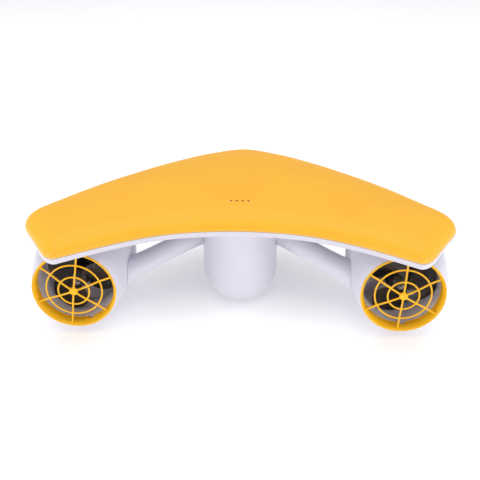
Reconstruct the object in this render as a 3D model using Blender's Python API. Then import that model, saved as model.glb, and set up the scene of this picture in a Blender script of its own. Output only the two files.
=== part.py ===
"""Twin-thruster underwater scooter: a wing-shaped deck over a battery pod, two ducted thrusters and two grips.

Metres. +X is the swimmer's right, +Y is forward, +Z is up. The origin is at the middle of the
underside of the whole object: x = 0 is the symmetry plane and z = 0 is the surface it stands on.
"""
import math

import bmesh
import bpy
import numpy as np
from mathutils import Matrix, Vector

# ---- driving dimensions ------------------------------------------------------------------------
GAP = 0.0003                    # clearance between pieces that touch
DUCT_X = 0.200                  # thruster axis to the symmetry plane
DUCT_Z = 0.063                  # thruster axis above the ground, also the nacelle's largest radius
DUCT_Y = -0.125                 # rear face of the thrusters
DUCT_RADIUS = 0.0475            # clear radius inside the duct
PARTING_Z = 0.1240              # seam between the two deck shells
FLOOR_Z = 0.1152                # underside of the deck
CROWN_EDGE = 0.0150             # rise of the deck's rounded edge above the seam
CROWN_EDGE_WIDTH = 0.022        # how far in the rounded edge reaches
CROWN_MIDDLE = 0.0095           # further rise towards the middle of the deck
CROWN_MIDDLE_WIDTH = 0.105
SKIN = 0.003                    # wall of both deck shells
POD_RADIUS = 0.0480             # half width of the pod and radius of its round underside
POD_REAR_Y = -0.0300            # centre of the pod's round rear end
POD_FRONT_Y = 0.080             # where the battery cover meets the pod
POD_WALL = 0.004
POD_Z = POD_RADIUS - 0.0004     # centre of the round underside; the keel below z = 0 is cut flat
POD_TOP = FLOOR_Z - GAP
BAY_TOP = 0.0905                # ceiling of the battery bay
KNOB_X = 0.0375                 # knobs of the battery cover
KNOB_Z = 0.100
COVER_LENGTH = 0.034            # battery cover, from its flange to its round front
GRIP_RADIUS = 0.0133
GRIP_OUTER = Vector((0.137, -0.0713, 0.063))    # grip axis at the nacelle
GRIP_INNER = Vector((0.049, -0.0250, 0.0919))   # grip axis at the pod
TRIGGER_Y = 0.0102              # trigger pin, forward of the grip's axis
POCKET_FLOOR_Y = 0.0045
BLADE_Y = 0.0320                # middle of the blades, forward of the thruster's rear plane
SEAT_END = 0.0124               # forward end of the guard's seat, from the same plane
THRUSTER_TURNS = {              # turn of the rear guard, of its notch and of the first blade, in degrees
    "left": (8.4, 19.0, 120.0),
    "right": (3.0, 5.0, 128.0),
}
LAMP_SPACING = 0.0073
LAMP_Y = -0.040
SHAFT_RADIUS = 0.0025
CABLE_Y = -0.052                # where each motor cable goes down into its nacelle
CAMERA_Y = 0.134
BOSS_Z = FLOOR_Z - 0.0015       # face of the camera boss
SCREW_PLACES = [(-0.098, 0.040), (0.098, 0.040), (-0.118, -0.055), (0.118, -0.055)]

# ---- deck outline: right half, from the middle of the rear edge round the tip to the nose -------
REAR_EDGE = [(0.0, -0.0834), (0.047, -0.0862), (0.0935, -0.0960), (0.139, -0.1150), (0.180, -0.1382),
             (0.2020, -0.1518)]
REAR_CORNER = (0.2120, -0.1570)
TIP_EDGE = [(0.2215, -0.1530), (0.2300, -0.1415), (0.2450, -0.1150), (0.2605, -0.0885), (0.2665, -0.0710)]
FRONT_CORNER = (0.2610, -0.0500)
FRONT_EDGE = [(0.238, -0.0215), (0.196, 0.0260), (0.150, 0.0690), (0.104, 0.1065), (0.053, 0.1390)]
NOSE = (0.0, 0.1570)

REAR_STEPS = 24
TIP_STEPS = 6
ROUND_STEPS = 32
FINE_STEPS = 16
HOOP_STEPS = 20


def clear_scene():
    for old in list(bpy.data.objects):
        bpy.data.objects.remove(old, do_unlink=True)


def material(name, colour, roughness, metallic=0.0):
    made = bpy.data.materials.new(name)
    made.use_nodes = True
    shader = made.node_tree.nodes["Principled BSDF"]
    shader.inputs["Base Color"].default_value = (*colour, 1.0)
    shader.inputs["Roughness"].default_value = roughness
    shader.inputs["Metallic"].default_value = metallic
    return made


clear_scene()
YELLOW = material("yellow_plastic", (0.98, 0.53, 0.07), 0.45)
WHITE = material("white_plastic", (0.78, 0.76, 0.84), 0.45)
BLACK = material("black_plastic", (0.012, 0.011, 0.012), 0.40)
DARK = material("dark_grey_plastic", (0.05, 0.05, 0.055), 0.50)
RUBBER = material("black_rubber", (0.02, 0.02, 0.02), 0.75)
LENS = material("smoked_lens", (0.16, 0.08, 0.01), 0.20)
BOARD = material("green_board", (0.02, 0.16, 0.06), 0.45)
STEEL = material("stainless_steel", (0.72, 0.72, 0.74), 0.25, 1.0)
BRASS = material("brass", (0.78, 0.55, 0.22), 0.30, 1.0)
COPPER = material("copper_winding", (0.62, 0.27, 0.12), 0.40, 1.0)
ALUMINIUM = material("black_aluminium", (0.03, 0.03, 0.035), 0.35, 1.0)


# ---- general shapes ----------------------------------------------------------------------------
def add_object(name, bm, finish, sharp=math.radians(32)):
    """One object from a bmesh, with outward faces and smooth round stretches."""
    bmesh.ops.recalc_face_normals(bm, faces=bm.faces)
    mesh = bpy.data.meshes.new(name)
    bm.to_mesh(mesh)
    bm.free()
    mesh.shade_smooth()
    mesh.set_sharp_from_angle(angle=sharp)
    made = bpy.data.objects.new(name, mesh)
    bpy.context.collection.objects.link(made)
    if finish:
        mesh.materials.append(finish)
    else:
        made.hide_render = True
        made.display_type = 'WIRE'
    return made


def lathe(name, profile, finish, steps=ROUND_STEPS):
    """Turns a closed profile of (y, radius) points about the Y axis."""
    bm = bmesh.new()
    points = [bm.verts.new((radius, y, 0.0)) for y, radius in profile]
    edges = []
    for first, second in zip(points, points[1:] + points[:1]):
        if first.co.x > 1e-9 or second.co.x > 1e-9:
            edges.append(bm.edges.new((first, second)))
    bmesh.ops.spin(bm, geom=points + edges, axis=(0, 1, 0), cent=(0, 0, 0), angle=math.tau,
                   steps=steps, use_merge=True)
    bmesh.ops.remove_doubles(bm, verts=bm.verts, dist=1e-7)
    return add_object(name, bm, finish)


def block(name, size, centre, finish, bevel=0.0, segments=2):
    """A box with its edges rounded."""
    bm = bmesh.new()
    bmesh.ops.create_cube(bm, size=1.0)
    bmesh.ops.scale(bm, vec=size, verts=bm.verts)
    if bevel:
        bmesh.ops.bevel(bm, geom=bm.edges, offset=bevel, segments=segments, affect='EDGES', profile=0.5)
    bmesh.ops.translate(bm, vec=centre, verts=bm.verts)
    return add_object(name, bm, finish)


def rod(name, radius, start, end, finish, steps=FINE_STEPS):
    """A round bar between two points."""
    start = Vector(start)
    run = Vector(end) - start
    bm = bmesh.new()
    bmesh.ops.create_cone(bm, cap_ends=True, segments=steps, radius1=radius, radius2=radius,
                          depth=run.length)
    turn = run.to_track_quat('Z', 'X').to_matrix().to_4x4()
    bmesh.ops.transform(bm, matrix=Matrix.Translation(start + run / 2) @ turn, verts=bm.verts)
    return add_object(name, bm, finish)


def prism(name, outline, y_start, y_end, finish):
    """An outline of (x, z) points drawn out along Y."""
    bm = bmesh.new()
    face = bm.faces.new([bm.verts.new((x, y_start, z)) for x, z in outline])
    grown = bmesh.ops.extrude_face_region(bm, geom=[face])
    moved = [item for item in grown["geom"] if isinstance(item, bmesh.types.BMVert)]
    bmesh.ops.translate(bm, vec=(0, y_end - y_start, 0), verts=moved)
    return add_object(name, bm, finish)


def wire(name, points, radius, resolution, finish):
    """A round wire along the points, with closed ends."""
    curve = bpy.data.curves.new(name, 'CURVE')
    curve.dimensions = '3D'
    curve.bevel_depth = radius
    curve.bevel_resolution = resolution
    curve.use_fill_caps = True
    line = curve.splines.new('POLY')
    line.points.add(len(points) - 1)
    for point, place in zip(line.points, points):
        point.co = (*place, 1.0)
    curve.materials.append(finish)
    made = bpy.data.objects.new(name, curve)
    bpy.context.collection.objects.link(made)
    return made


def boolean(target, operand, operation):
    cut = target.modifiers.new(operation.lower() + "_" + operand.name, 'BOOLEAN')
    cut.operation = operation
    cut.solver = 'EXACT'
    cut.object = operand


def hang(child, parent):
    child.parent = parent
    return child


def empty(name, location, rotation=(0, 0, 0)):
    made = bpy.data.objects.new(name, None)
    made.location = location
    made.rotation_euler = rotation
    bpy.context.collection.objects.link(made)
    return made


# ---- deck --------------------------------------------------------------------------------------
def smooth_curve(points, before, after, steps):
    """Catmull-Rom curve through the points; returns steps + 1 points, equally many on each span."""
    guide = [Vector(p) for p in [before, *points, after]]
    spans = len(guide) - 3
    line = []
    for k in range(steps + 1):
        place = min(spans * k / steps, spans - 1e-9)
        p0, p1, p2, p3 = guide[int(place):int(place) + 4]
        t = place - int(place)
        line.append(tuple(0.5 * (2 * p1 + (p2 - p0) * t + (2 * p0 - 5 * p1 + 4 * p2 - p3) * t ** 2
                                 + (3 * p1 - p0 - 3 * p2 + p3) * t ** 3)))
    return line


def mirrored(points):
    return [(-x, y) for x, y in reversed(points)]


def deck_sides(rear_steps=REAR_STEPS, tip_steps=TIP_STEPS):
    """The deck outline as four sides that share their corners, anticlockwise from the left rear corner."""
    half = rear_steps // 2
    rear = smooth_curve([*REAR_EDGE, REAR_CORNER], mirrored(REAR_EDGE)[-2], TIP_EDGE[0], half)
    tip = smooth_curve([REAR_CORNER, *TIP_EDGE, FRONT_CORNER], REAR_EDGE[-1], FRONT_EDGE[0], tip_steps)
    front = smooth_curve([FRONT_CORNER, *FRONT_EDGE, NOSE], TIP_EDGE[-1], mirrored(FRONT_EDGE)[0], half)
    return [mirrored(rear)[:-1] + rear, tip, front[:-1] + mirrored(front), mirrored(tip)]


def ring_of(sides):
    return [point for side in sides for point in side[:-1]]


def inset_ring(ring, distance):
    """Moves each outline point inwards, square to the outline."""
    moved = []
    count = len(ring)
    for i, point in enumerate(ring):
        along = Vector(ring[(i + 1) % count]) - Vector(ring[i - 1])
        inward = Vector((-along.y, along.x)).normalized()
        moved.append(tuple(Vector(point) + inward * distance))
    return moved


def drawn_in(ring, share):
    """Moves each outline point towards the deck's middle line by a share of the way."""
    moved = []
    for x, y in ring:
        reach = min(1.0, abs(x) / TIP_EDGE[-1][0])
        target_x = math.copysign(min(abs(x), 0.205), x)
        target_y = 0.037 - 0.130 * reach ** 1.5
        moved.append((x + (target_x - x) * share, y + (target_y - y) * share))
    return moved


def edge_distance(points):
    """Distance of each point to the deck outline."""
    outline = np.array(ring_of(deck_sides(96, 36)))
    start = outline
    run = np.roll(outline, -1, axis=0) - start
    spots = np.array(points)[:, None, :]
    share = ((spots - start) * run).sum(axis=2) / (run * run).sum(axis=1)
    nearest = start + np.clip(share, 0.0, 1.0)[:, :, None] * run
    return np.sqrt(((spots - nearest) ** 2).sum(axis=2)).min(axis=1)


def crown(points):
    """Height of the deck's top surface at each (x, y)."""
    inside = edge_distance(points)
    edge = 1.0 - np.clip(inside / CROWN_EDGE_WIDTH, 0.0, 1.0)
    middle = 1.0 - np.clip(inside / CROWN_MIDDLE_WIDTH, 0.0, 1.0)
    rise = CROWN_EDGE * np.sqrt(1.0 - edge ** 2) + CROWN_MIDDLE * (1.0 - middle ** 2)
    return PARTING_Z + rise


def bridge(bm, outer, inner):
    count = len(outer)
    for i in range(count):
        j = (i + 1) % count
        bm.faces.new((outer[i], outer[j], inner[j], inner[i]))


def fill_block(bm, ring, height):
    """Closes a four-sided ring with a grid between its rear and front sides."""
    rear = ring[:REAR_STEPS + 1]
    right = ring[REAR_STEPS:REAR_STEPS + TIP_STEPS + 1]
    front = ring[REAR_STEPS + TIP_STEPS:2 * REAR_STEPS + TIP_STEPS + 1][::-1]
    left = (ring[2 * REAR_STEPS + TIP_STEPS:] + ring[:1])[::-1]
    grid = [rear]
    for row in range(1, TIP_STEPS):
        share = row / TIP_STEPS
        flat = []
        for i in range(1, REAR_STEPS):
            near, far = rear[i].co, front[i].co
            flat.append(tuple((near.lerp(far, share)).to_2d()))
        heights = height(flat)
        middle = [bm.verts.new((x, y, z)) for (x, y), z in zip(flat, heights)]
        grid.append([left[row], *middle, right[row]])
    grid.append(front)
    for low, high in zip(grid, grid[1:]):
        for i in range(REAR_STEPS):
            bm.faces.new((low[i], low[i + 1], high[i + 1], high[i]))


def ring_verts(bm, ring, height):
    return [bm.verts.new((x, y, z)) for (x, y), z in zip(ring, height(ring))]


def level(z):
    return lambda points: [z] * len(points)


def make_top_cover():
    """Yellow moulded shell: crowned outer face, a 3 mm wall and a flat flange on the seam."""
    bm = bmesh.new()
    outline = ring_of(deck_sides())
    flange = inset_ring(outline, 0.0065)
    rings = [ring_verts(bm, outline, level(PARTING_Z))]
    for distance in (0.0006, 0.0028, 0.0075):
        rings.append(ring_verts(bm, inset_ring(outline, distance), crown))
    for share in (0.25, 0.50):
        rings.append(ring_verts(bm, drawn_in(outline, share), crown))
    for outer, inner in zip(rings, rings[1:]):
        bridge(bm, outer, inner)
    fill_block(bm, rings[-1], crown)

    def under_crown(points):
        return crown(points) - SKIN

    inner_rings = [ring_verts(bm, flange, level(PARTING_Z)), ring_verts(bm, flange, under_crown),
                   ring_verts(bm, drawn_in(outline, 0.35), under_crown)]
    for outer, inner in zip([rings[0], *inner_rings], inner_rings):
        bridge(bm, inner, outer)
    fill_block(bm, inner_rings[-1], under_crown)
    cover = add_object("top_cover", bm, YELLOW, math.radians(50))
    for i in range(4):
        x = (i - 1.5) * LAMP_SPACING
        boolean(cover, rod(f"lamp_window_{i}", 0.0017, (x, LAMP_Y, 0.13), (x, LAMP_Y, 0.16), None, 12),
                'DIFFERENCE')


def make_lower_shell():
    """White tray under the cover: rim with a seal groove, rounded lower edge, flat 3 mm floor."""
    bm = bmesh.new()
    outline = ring_of(deck_sides())
    rim_top = PARTING_Z - GAP
    floor_top = FLOOR_Z + SKIN
    section = [(0.0, rim_top), (0.0, FLOOR_Z + 0.0035), (0.0011, FLOOR_Z + 0.0011), (0.0035, FLOOR_Z)]
    outer = [ring_verts(bm, inset_ring(outline, d), level(z)) for d, z in section]
    outer.append(ring_verts(bm, drawn_in(outline, 0.35), level(FLOOR_Z)))
    groove = rim_top - 0.0015
    section = [(0.0020, rim_top), (0.0020, groove), (0.0042, groove), (0.0042, rim_top), (0.0062, rim_top),
               (0.0062, floor_top)]
    inner = [ring_verts(bm, inset_ring(outline, d), level(z)) for d, z in section]
    inner.append(ring_verts(bm, drawn_in(outline, 0.35), level(floor_top)))
    for first, second in zip(outer, outer[1:]):
        bridge(bm, second, first)
    for first, second in zip([outer[0], *inner], inner):
        bridge(bm, first, second)
    fill_block(bm, outer[-1], level(FLOOR_Z))
    fill_block(bm, inner[-1], level(floor_top))
    shell = add_object("lower_shell", bm, WHITE, math.radians(40))
    for side in (-1, 1):
        place = (side * DUCT_X, CABLE_Y)
        hole = rod(f"cable_hole_{side}", 0.0045, (*place, 0.10), (*place, 0.13), None, 12)
        boolean(shell, hole, 'DIFFERENCE')
    for i, (x, y) in enumerate(SCREW_PLACES):
        hole = rod(f"screw_hole_{i}", 0.0019, (x, y, 0.10), (x, y, 0.13), None, 12)
        boolean(shell, hole, 'DIFFERENCE')
    boss = lathe("camera_boss", [(0.0, 0.0), (0.0, 0.0125), (0.0125, 0.0115), (0.0125, 0.0)], None, 24)
    boss.rotation_euler = (math.radians(90), 0, 0)
    boss.location = (0, CAMERA_Y, BOSS_Z)
    boolean(shell, boss, 'UNION')
    socket = rod("camera_socket", 0.0048, (0, CAMERA_Y, 0.09), (0, CAMERA_Y, BOSS_Z + 0.0100), None)
    boolean(shell, socket, 'DIFFERENCE')


def make_deck_seal():
    """Rubber cord in the groove of the lower shell's rim."""
    bm = bmesh.new()
    outline = ring_of(deck_sides())
    low = PARTING_Z - GAP - 0.0012
    high = PARTING_Z - GAP
    section = [(0.0023, low), (0.0039, low), (0.0039, high), (0.0023, high)]
    rings = [ring_verts(bm, inset_ring(outline, d), level(z)) for d, z in section]
    for first, second in zip(rings, rings[1:] + rings[:1]):
        bridge(bm, first, second)
    add_object("deck_seal", bm, RUBBER)


def make_deck_screws():
    """Pan-head screws driven up through the lower shell's floor."""
    head = [(0.0, 0.0), (0.0, 0.0022), (0.0008, 0.0033), (0.0020, 0.0033), (0.0020, 0.0015), (0.0125, 0.0015),
            (0.0135, 0.0008), (0.0135, 0.0)]
    for i, (x, y) in enumerate(SCREW_PLACES):
        screw = lathe(f"deck_screw_{i + 1}", head, STEEL, 12)
        screw.rotation_euler = (math.radians(90), 0, 0)
        screw.location = (x, y, FLOOR_Z - GAP - 0.0020)


def make_indicator():
    """Clear light pipe with four stubs in the cover's windows, on a small board with the lamps."""
    bar_top = 0.1382
    tip = float(crown([(0.0, LAMP_Y)])[0]) - 0.0004
    pipe = block("light_pipe", (0.030, 0.006, 0.0024), (0, LAMP_Y, bar_top - 0.0012), LENS)
    for i in range(4):
        x = (i - 1.5) * LAMP_SPACING
        stub = rod(f"light_stub_{i}", 0.0014, (x, LAMP_Y, bar_top - 0.001), (x, LAMP_Y, tip), None, 12)
        boolean(pipe, stub, 'UNION')
    block("indicator_board", (0.040, 0.016, 0.0016), (0, LAMP_Y, bar_top - 0.0024 - GAP - 0.0008), BOARD)


def make_controller():
    """Motor controller: potted aluminium box with cooling fins, on the deck's floor."""
    base_z = FLOOR_Z + SKIN + GAP
    fins = 7
    half = 0.030
    outline = [(-half, base_z), (half, base_z), (half, base_z + 0.008)]
    pitch = 2 * half / (2 * fins - 1)
    for i in range(fins):
        x = half - 2 * i * pitch
        outline += [(x, base_z + 0.014), (x - pitch, base_z + 0.014)]
        if i < fins - 1:
            outline += [(x - pitch, base_z + 0.008), (x - 2 * pitch, base_z + 0.008)]
    outline += [(-half, base_z + 0.008)]
    clean = [p for i, p in enumerate(outline) if math.dist(p, outline[i - 1]) > 1e-6]
    prism("motor_controller", clean, 0.000, 0.075, ALUMINIUM)


def make_motor_cable(side, word):
    """Held cable: out of the controller, along the deck's floor, then down through the nacelle's top."""
    bed = FLOOR_Z + SKIN + 0.0022
    foot = DUCT_Z + DUCT_RADIUS + 0.0004
    guide = [(0.0303, 0.030, bed + 0.003), (0.050, 0.030, bed + 0.0015), (0.080, 0.018, bed),
             (0.120, -0.012, bed), (0.165, -0.042, bed), (0.186, CABLE_Y, bed), (0.193, CABLE_Y, bed + 0.0004),
             (0.1975, CABLE_Y, bed - 0.0006), (0.1997, CABLE_Y, bed - 0.0032), (DUCT_X, CABLE_Y, bed - 0.0062),
             (DUCT_X, CABLE_Y, foot)]
    wire(f"motor_cable_{word}", [(side * x, y, z) for x, y, z in guide], 0.0018, 2, RUBBER)


# ---- pod ---------------------------------------------------------------------------------------
def pod_section(radius, top, steps=20):
    """Upright U: round below, straight sides up to the deck. Points (x, z) from top right round to top left."""
    under = [(radius * math.cos(a), POD_Z - radius * math.sin(a))
             for a in np.linspace(0.0, math.pi, steps + 1)]
    return [(radius, top), *under, (-radius, top)]


def pod_solid(name, grow, top, y_front, finish, steps=20, rings=7):
    """The pod's full shape: the U section drawn forward, with a round rear end."""
    radius = POD_RADIUS + grow
    bm = bmesh.new()
    loops = []
    for share in np.linspace(0.12, 1.0, rings):
        y = POD_REAR_Y - radius * math.sqrt(max(0.0, 1.0 - share ** 2))
        wide = radius * share
        loops.append([bm.verts.new((x, y, z)) for x, z in pod_section(wide, top, steps)])
    loops.append([bm.verts.new((x, y_front, z)) for x, z in pod_section(radius, top, steps)])
    bm.faces.new(loops[0])
    for first, second in zip(loops, loops[1:]):
        bridge(bm, first, second)
    bm.faces.new(loops[-1])
    return add_object(name, bm, finish)


def make_pod():
    """White pod housing, open to the front for the battery, with its round keel flattened below."""
    pod = pod_solid("pod_housing", 0.0, POD_TOP, POD_FRONT_Y, WHITE)
    bay = pod_solid("battery_bay", -POD_WALL, BAY_TOP, POD_FRONT_Y + 0.01, None, 14, 5)
    boolean(pod, bay, 'DIFFERENCE')
    cable_space = block("cable_space", (0.070, 0.088, 0.040), (0, 0.018, BAY_TOP + POD_WALL + 0.020), None)
    boolean(pod, cable_space, 'DIFFERENCE')
    keel = block("keel_cut", (0.2, 0.4, 0.02), (0, 0, -0.01), None)
    boolean(pod, keel, 'DIFFERENCE')
    for side in (-1, 1):
        hole = rod(f"knob_hole_{side}", 0.0028, (side * KNOB_X, POD_FRONT_Y - 0.016, KNOB_Z),
                   (side * KNOB_X, POD_FRONT_Y + 0.02, KNOB_Z), None, 12)
        boolean(pod, hole, 'DIFFERENCE')


def make_battery():
    """Battery cartridge that fills the bay, its seal, its end cover and the contacts behind it."""
    inner = POD_RADIUS - POD_WALL - 0.0016
    section = pod_section(inner, 0.086, 14)
    pack = prism("battery_pack", section, -0.022, POD_FRONT_Y - 0.0005, DARK)
    edge = pack.modifiers.new("edge", 'BEVEL')
    edge.width = 0.002
    edge.segments = 1
    edge.limit_method = 'ANGLE'
    edge.angle_limit = math.radians(50)
    bay_rear = POD_REAR_Y - (POD_RADIUS - POD_WALL) * 0.95
    contact_front = -0.0225
    block("contact_block", (0.022, contact_front - bay_rear, 0.020), (0, (contact_front + bay_rear) / 2, 0.050),
          BLACK, 0.001, 1)

    bm = bmesh.new()
    loops = []
    for grow, y in ((-0.0032, POD_FRONT_Y + GAP), (-0.0012, POD_FRONT_Y + GAP),
                    (-0.0012, POD_FRONT_Y + 0.0018), (-0.0032, POD_FRONT_Y + 0.0018)):
        points = pod_section(POD_RADIUS + grow, BAY_TOP + POD_WALL + grow, 14)
        loops.append([bm.verts.new((x, y, z)) for x, z in points])
    for first, second in zip(loops, loops[1:] + loops[:1]):
        bridge(bm, first, second)
    add_object("battery_seal", bm, RUBBER)

    cover_start = POD_FRONT_Y + 0.0018 + GAP
    bm = bmesh.new()
    loops = []
    for angle in np.linspace(0.0, 1.0, 7)[:-1]:
        wide = math.sqrt(1.0 - angle ** 2)
        y = cover_start + 0.006 + (COVER_LENGTH - 0.006) * angle
        loops.append([bm.verts.new((x * wide, y, POD_Z + (z - POD_Z) * wide))
                      for x, z in pod_section(POD_RADIUS, POD_TOP - 0.002, 20)])
    start = [bm.verts.new((x, cover_start, z)) for x, z in pod_section(POD_RADIUS, POD_TOP - 0.002, 20)]
    bm.faces.new(start)
    for first, second in zip([start, *loops], loops):
        bridge(bm, first, second)
    bm.faces.new(loops[-1])
    cover = add_object("battery_cover", bm, WHITE)
    for side in (-1, 1):
        start = (side * KNOB_X, cover_start - 0.01, KNOB_Z)
        hole = rod(f"cover_hole_{side}", 0.0028, start, (side * KNOB_X, cover_start + 0.03, KNOB_Z), None, 12)
        boolean(cover, hole, 'DIFFERENCE')
        seat = rod(f"cover_seat_{side}", 0.0085, (side * KNOB_X, cover_start + 0.004, KNOB_Z),
                   (side * KNOB_X, cover_start + 0.05, KNOB_Z), None)
        boolean(cover, seat, 'DIFFERENCE')
    keel = block("cover_keel_cut", (0.2, 0.4, 0.02), (0, 0, -0.01), None)
    boolean(cover, keel, 'DIFFERENCE')


def make_knobs():
    """Quarter-turn knobs that hold the battery cover: a winged head on a steel-coloured stem."""
    cover_start = POD_FRONT_Y + 0.0018 + GAP
    profile = [(-0.014, 0.0), (-0.014, 0.0025), (0.0043, 0.0025), (0.0043, 0.0070), (0.0065, 0.0080),
               (0.0085, 0.0080), (0.0095, 0.0070), (0.0095, 0.0)]
    for side, word in ((-1, "left"), (1, "right")):
        knob = lathe(f"cover_knob_{word}", profile, DARK, 18)
        knob.location = (side * KNOB_X, cover_start, KNOB_Z)
        wing = block(f"knob_wing_{word}", (0.0036, 0.007, 0.0150), (0, 0.0120, 0), None, 0.0006, 1)
        wing.parent = knob
        boolean(knob, wing, 'UNION')


# ---- grips and triggers ------------------------------------------------------------------------
def make_grip(side, word):
    """Grip bar from the pod down to the nacelle, with a pocket for the trigger on its front."""
    outer = Vector((side * GRIP_OUTER.x, GRIP_OUTER.y, GRIP_OUTER.z))
    inner = Vector((side * GRIP_INNER.x, GRIP_INNER.y, GRIP_INNER.z))
    run = (outer - inner).normalized()
    bar = rod(f"grip_{word}", GRIP_RADIUS, inner - run * 0.015, outer + run * 0.030, WHITE, 28)
    boolean(bar, pod_solid(f"pod_fit_{word}", GAP, FLOOR_Z + 0.02, POD_FRONT_Y, None), 'DIFFERENCE')
    nacelle_fit = lathe(f"nacelle_fit_{word}", nacelle_profile(GAP, solid=True), None)
    nacelle_fit.location = (side * DUCT_X, DUCT_Y, DUCT_Z)
    boolean(bar, nacelle_fit, 'DIFFERENCE')
    # the grip's own frame: x along the bar from the pod outwards, y forward, z square to both
    along = run
    forward = (Vector((0, 1, 0)) - along * along.y).normalized()
    upward = along.cross(forward)
    frame = Matrix((along, forward, upward)).transposed().to_4x4()
    frame.translation = inner + run * 0.040
    anchor = empty(f"grip_frame_{word}", (0, 0, 0))
    anchor.matrix_world = frame
    pocket = block(f"trigger_pocket_{word}", (0.046, 0.020, 0.0130), (0.019, POCKET_FLOOR_Y + 0.010, 0), None)
    pin_hole = rod(f"pin_hole_{word}", 0.0014, (0, TRIGGER_Y, -0.03), (0, TRIGGER_Y, 0.03), None, 12)
    boolean(bar, hang(pocket, anchor), 'DIFFERENCE')
    boolean(bar, hang(pin_hole, anchor), 'DIFFERENCE')
    hang(rod(f"trigger_pin_{word}", 0.0011, (0, TRIGGER_Y, -0.0090), (0, TRIGGER_Y, 0.0090), STEEL, 12), anchor)
    make_trigger(word, anchor)


def make_trigger(word, anchor):
    """Finger lever on the pin, the coil spring round the pin and the sealed sensor in the pocket's floor."""
    outline = [(-0.0030, -0.0018), (0.0, -0.0032), (0.0370, 0.0020), (0.0385, 0.0045), (0.0360, 0.0080),
               (0.0280, 0.0065), (0.0180, 0.0060), (0.0090, 0.0058), (0.0, 0.0034), (-0.0030, 0.0020)]
    bm = bmesh.new()
    face = bm.faces.new([bm.verts.new((x, y, -0.0058)) for x, y in outline])
    grown = bmesh.ops.extrude_face_region(bm, geom=[face])
    moved = [item for item in grown["geom"] if isinstance(item, bmesh.types.BMVert)]
    bmesh.ops.translate(bm, vec=(0, 0, 0.0116), verts=moved)
    lever = hang(add_object(f"trigger_{word}", bm, DARK), anchor)
    lever.location = (0, TRIGGER_Y, 0)
    bore = rod(f"trigger_bore_{word}", 0.0014, (0, 0, -0.02), (0, 0, 0.02), None, 12)
    slot = block(f"spring_slot_{word}", (0.0110, 0.0110, 0.0046), (-0.0010, 0, 0), None)
    boolean(lever, hang(bore, lever), 'DIFFERENCE')
    boolean(lever, hang(slot, lever), 'DIFFERENCE')

    turns = 2
    corners = 8
    points = []
    for i in range(turns * corners + 1):
        angle = math.tau * i / corners
        points.append((0.0022 * math.cos(angle), TRIGGER_Y + 0.0022 * math.sin(angle),
                       -0.0012 + 0.0024 * i / (turns * corners)))
    hang(wire(f"trigger_spring_{word}", points, 0.0003, 0, STEEL), anchor)
    sensor_place = (0.024, POCKET_FLOOR_Y + GAP + 0.0006, 0)
    hang(block(f"trigger_sensor_{word}", (0.010, 0.0012, 0.006), sensor_place, BLACK, 0.0003, 1), anchor)


# ---- thrusters ---------------------------------------------------------------------------------
def nacelle_profile(grow=0.0, solid=False):
    """Barrel-shaped housing round a straight duct, with a seat for the rear guard's sleeve."""
    outside = [(GAP - grow, 0.0514 + grow), (0.0090, 0.0545 + grow), (0.0200, 0.0572 + grow),
               (0.0350, 0.0600 + grow), (0.0500, 0.0619 + grow), (0.0650, DUCT_Z + grow),
               (0.0850, DUCT_Z + grow), (0.1030, 0.0614 + grow), (0.1180, 0.0578 + grow),
               (0.1270, 0.0540 + grow), (0.1300, 0.0512)]
    if solid:
        return [*outside, (0.1300, 0.0), (GAP - grow, 0.0)]
    inside = [(0.1285, 0.0495), (0.1240, DUCT_RADIUS), (SEAT_END, DUCT_RADIUS), (SEAT_END, 0.0500),
              (GAP, 0.0500)]
    return outside + inside


def make_guard(name, rings, dish, hub, depth, finish, forward):
    """Round guard: funnel-shaped rim, plug-in sleeve, six spokes and two rings, dished at the hub."""
    face = 1.0 if forward else -1.0

    def dish_y(radius):
        return face * dish * (1.0 - (radius / rings[-1]) ** 2) if radius < rings[-1] else 0.0

    sleeve_inner = rings[-1] + 0.0130
    # depth and radius of the section's corners, the radius measured from the sleeve's inside
    section = [(-depth, 0.0), (-0.0050, 0.0), (0.0008, 0.0017), (0.0028, 0.0031), (0.0033, 0.0039),
               (0.0026, 0.0045), (0.0, 0.0045), (0.0, 0.0025), (-depth, 0.0025)]
    guard = lathe(name, [(face * y, sleeve_inner + grow) for y, grow in section], finish)
    width = 0.0014
    for radius in rings:
        y = dish_y(radius)
        diamond = [(y - width, radius), (y, radius + width), (y + width, radius), (y, radius - width)]
        hoop = lathe(f"{name}_ring_{radius:.3f}", diamond, None, HOOP_STEPS)
        hoop.rotation_euler = (0, math.pi / HOOP_STEPS, 0)
        boolean(guard, hang(hoop, guard), 'UNION')
    spread = 0.0012
    for i in range(6):
        bm = bmesh.new()
        loops = []
        for radius in (0.0036, rings[0], rings[1], sleeve_inner + 0.0020):
            y = dish_y(radius)
            corners = ((-spread, -0.0013), (spread, -0.0013), (spread, 0.0013), (-spread, 0.0013))
            loops.append([bm.verts.new((cx, y + cy, radius)) for cx, cy in corners])
        for first, second in zip(loops, loops[1:]):
            bridge(bm, first, second)
        bm.faces.new(loops[0])
        bm.faces.new(loops[-1])
        bmesh.ops.rotate(bm, cent=(0, 0, 0), matrix=Matrix.Rotation(math.tau * i / 6, 3, 'Y'), verts=bm.verts)
        boolean(guard, hang(add_object(f"{name}_spoke_{i}", bm, None), guard), 'UNION')
    cap = [(face * (dish - 0.0016), 0.0), (face * (dish - 0.0016), hub), (face * (dish + 0.0012), hub),
           (face * (dish + 0.0018), hub - 0.0008), (face * (dish + 0.0018), 0.0)]
    boolean(guard, hang(lathe(f"{name}_hub", cap, None, 12), guard), 'UNION')
    return guard


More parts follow.
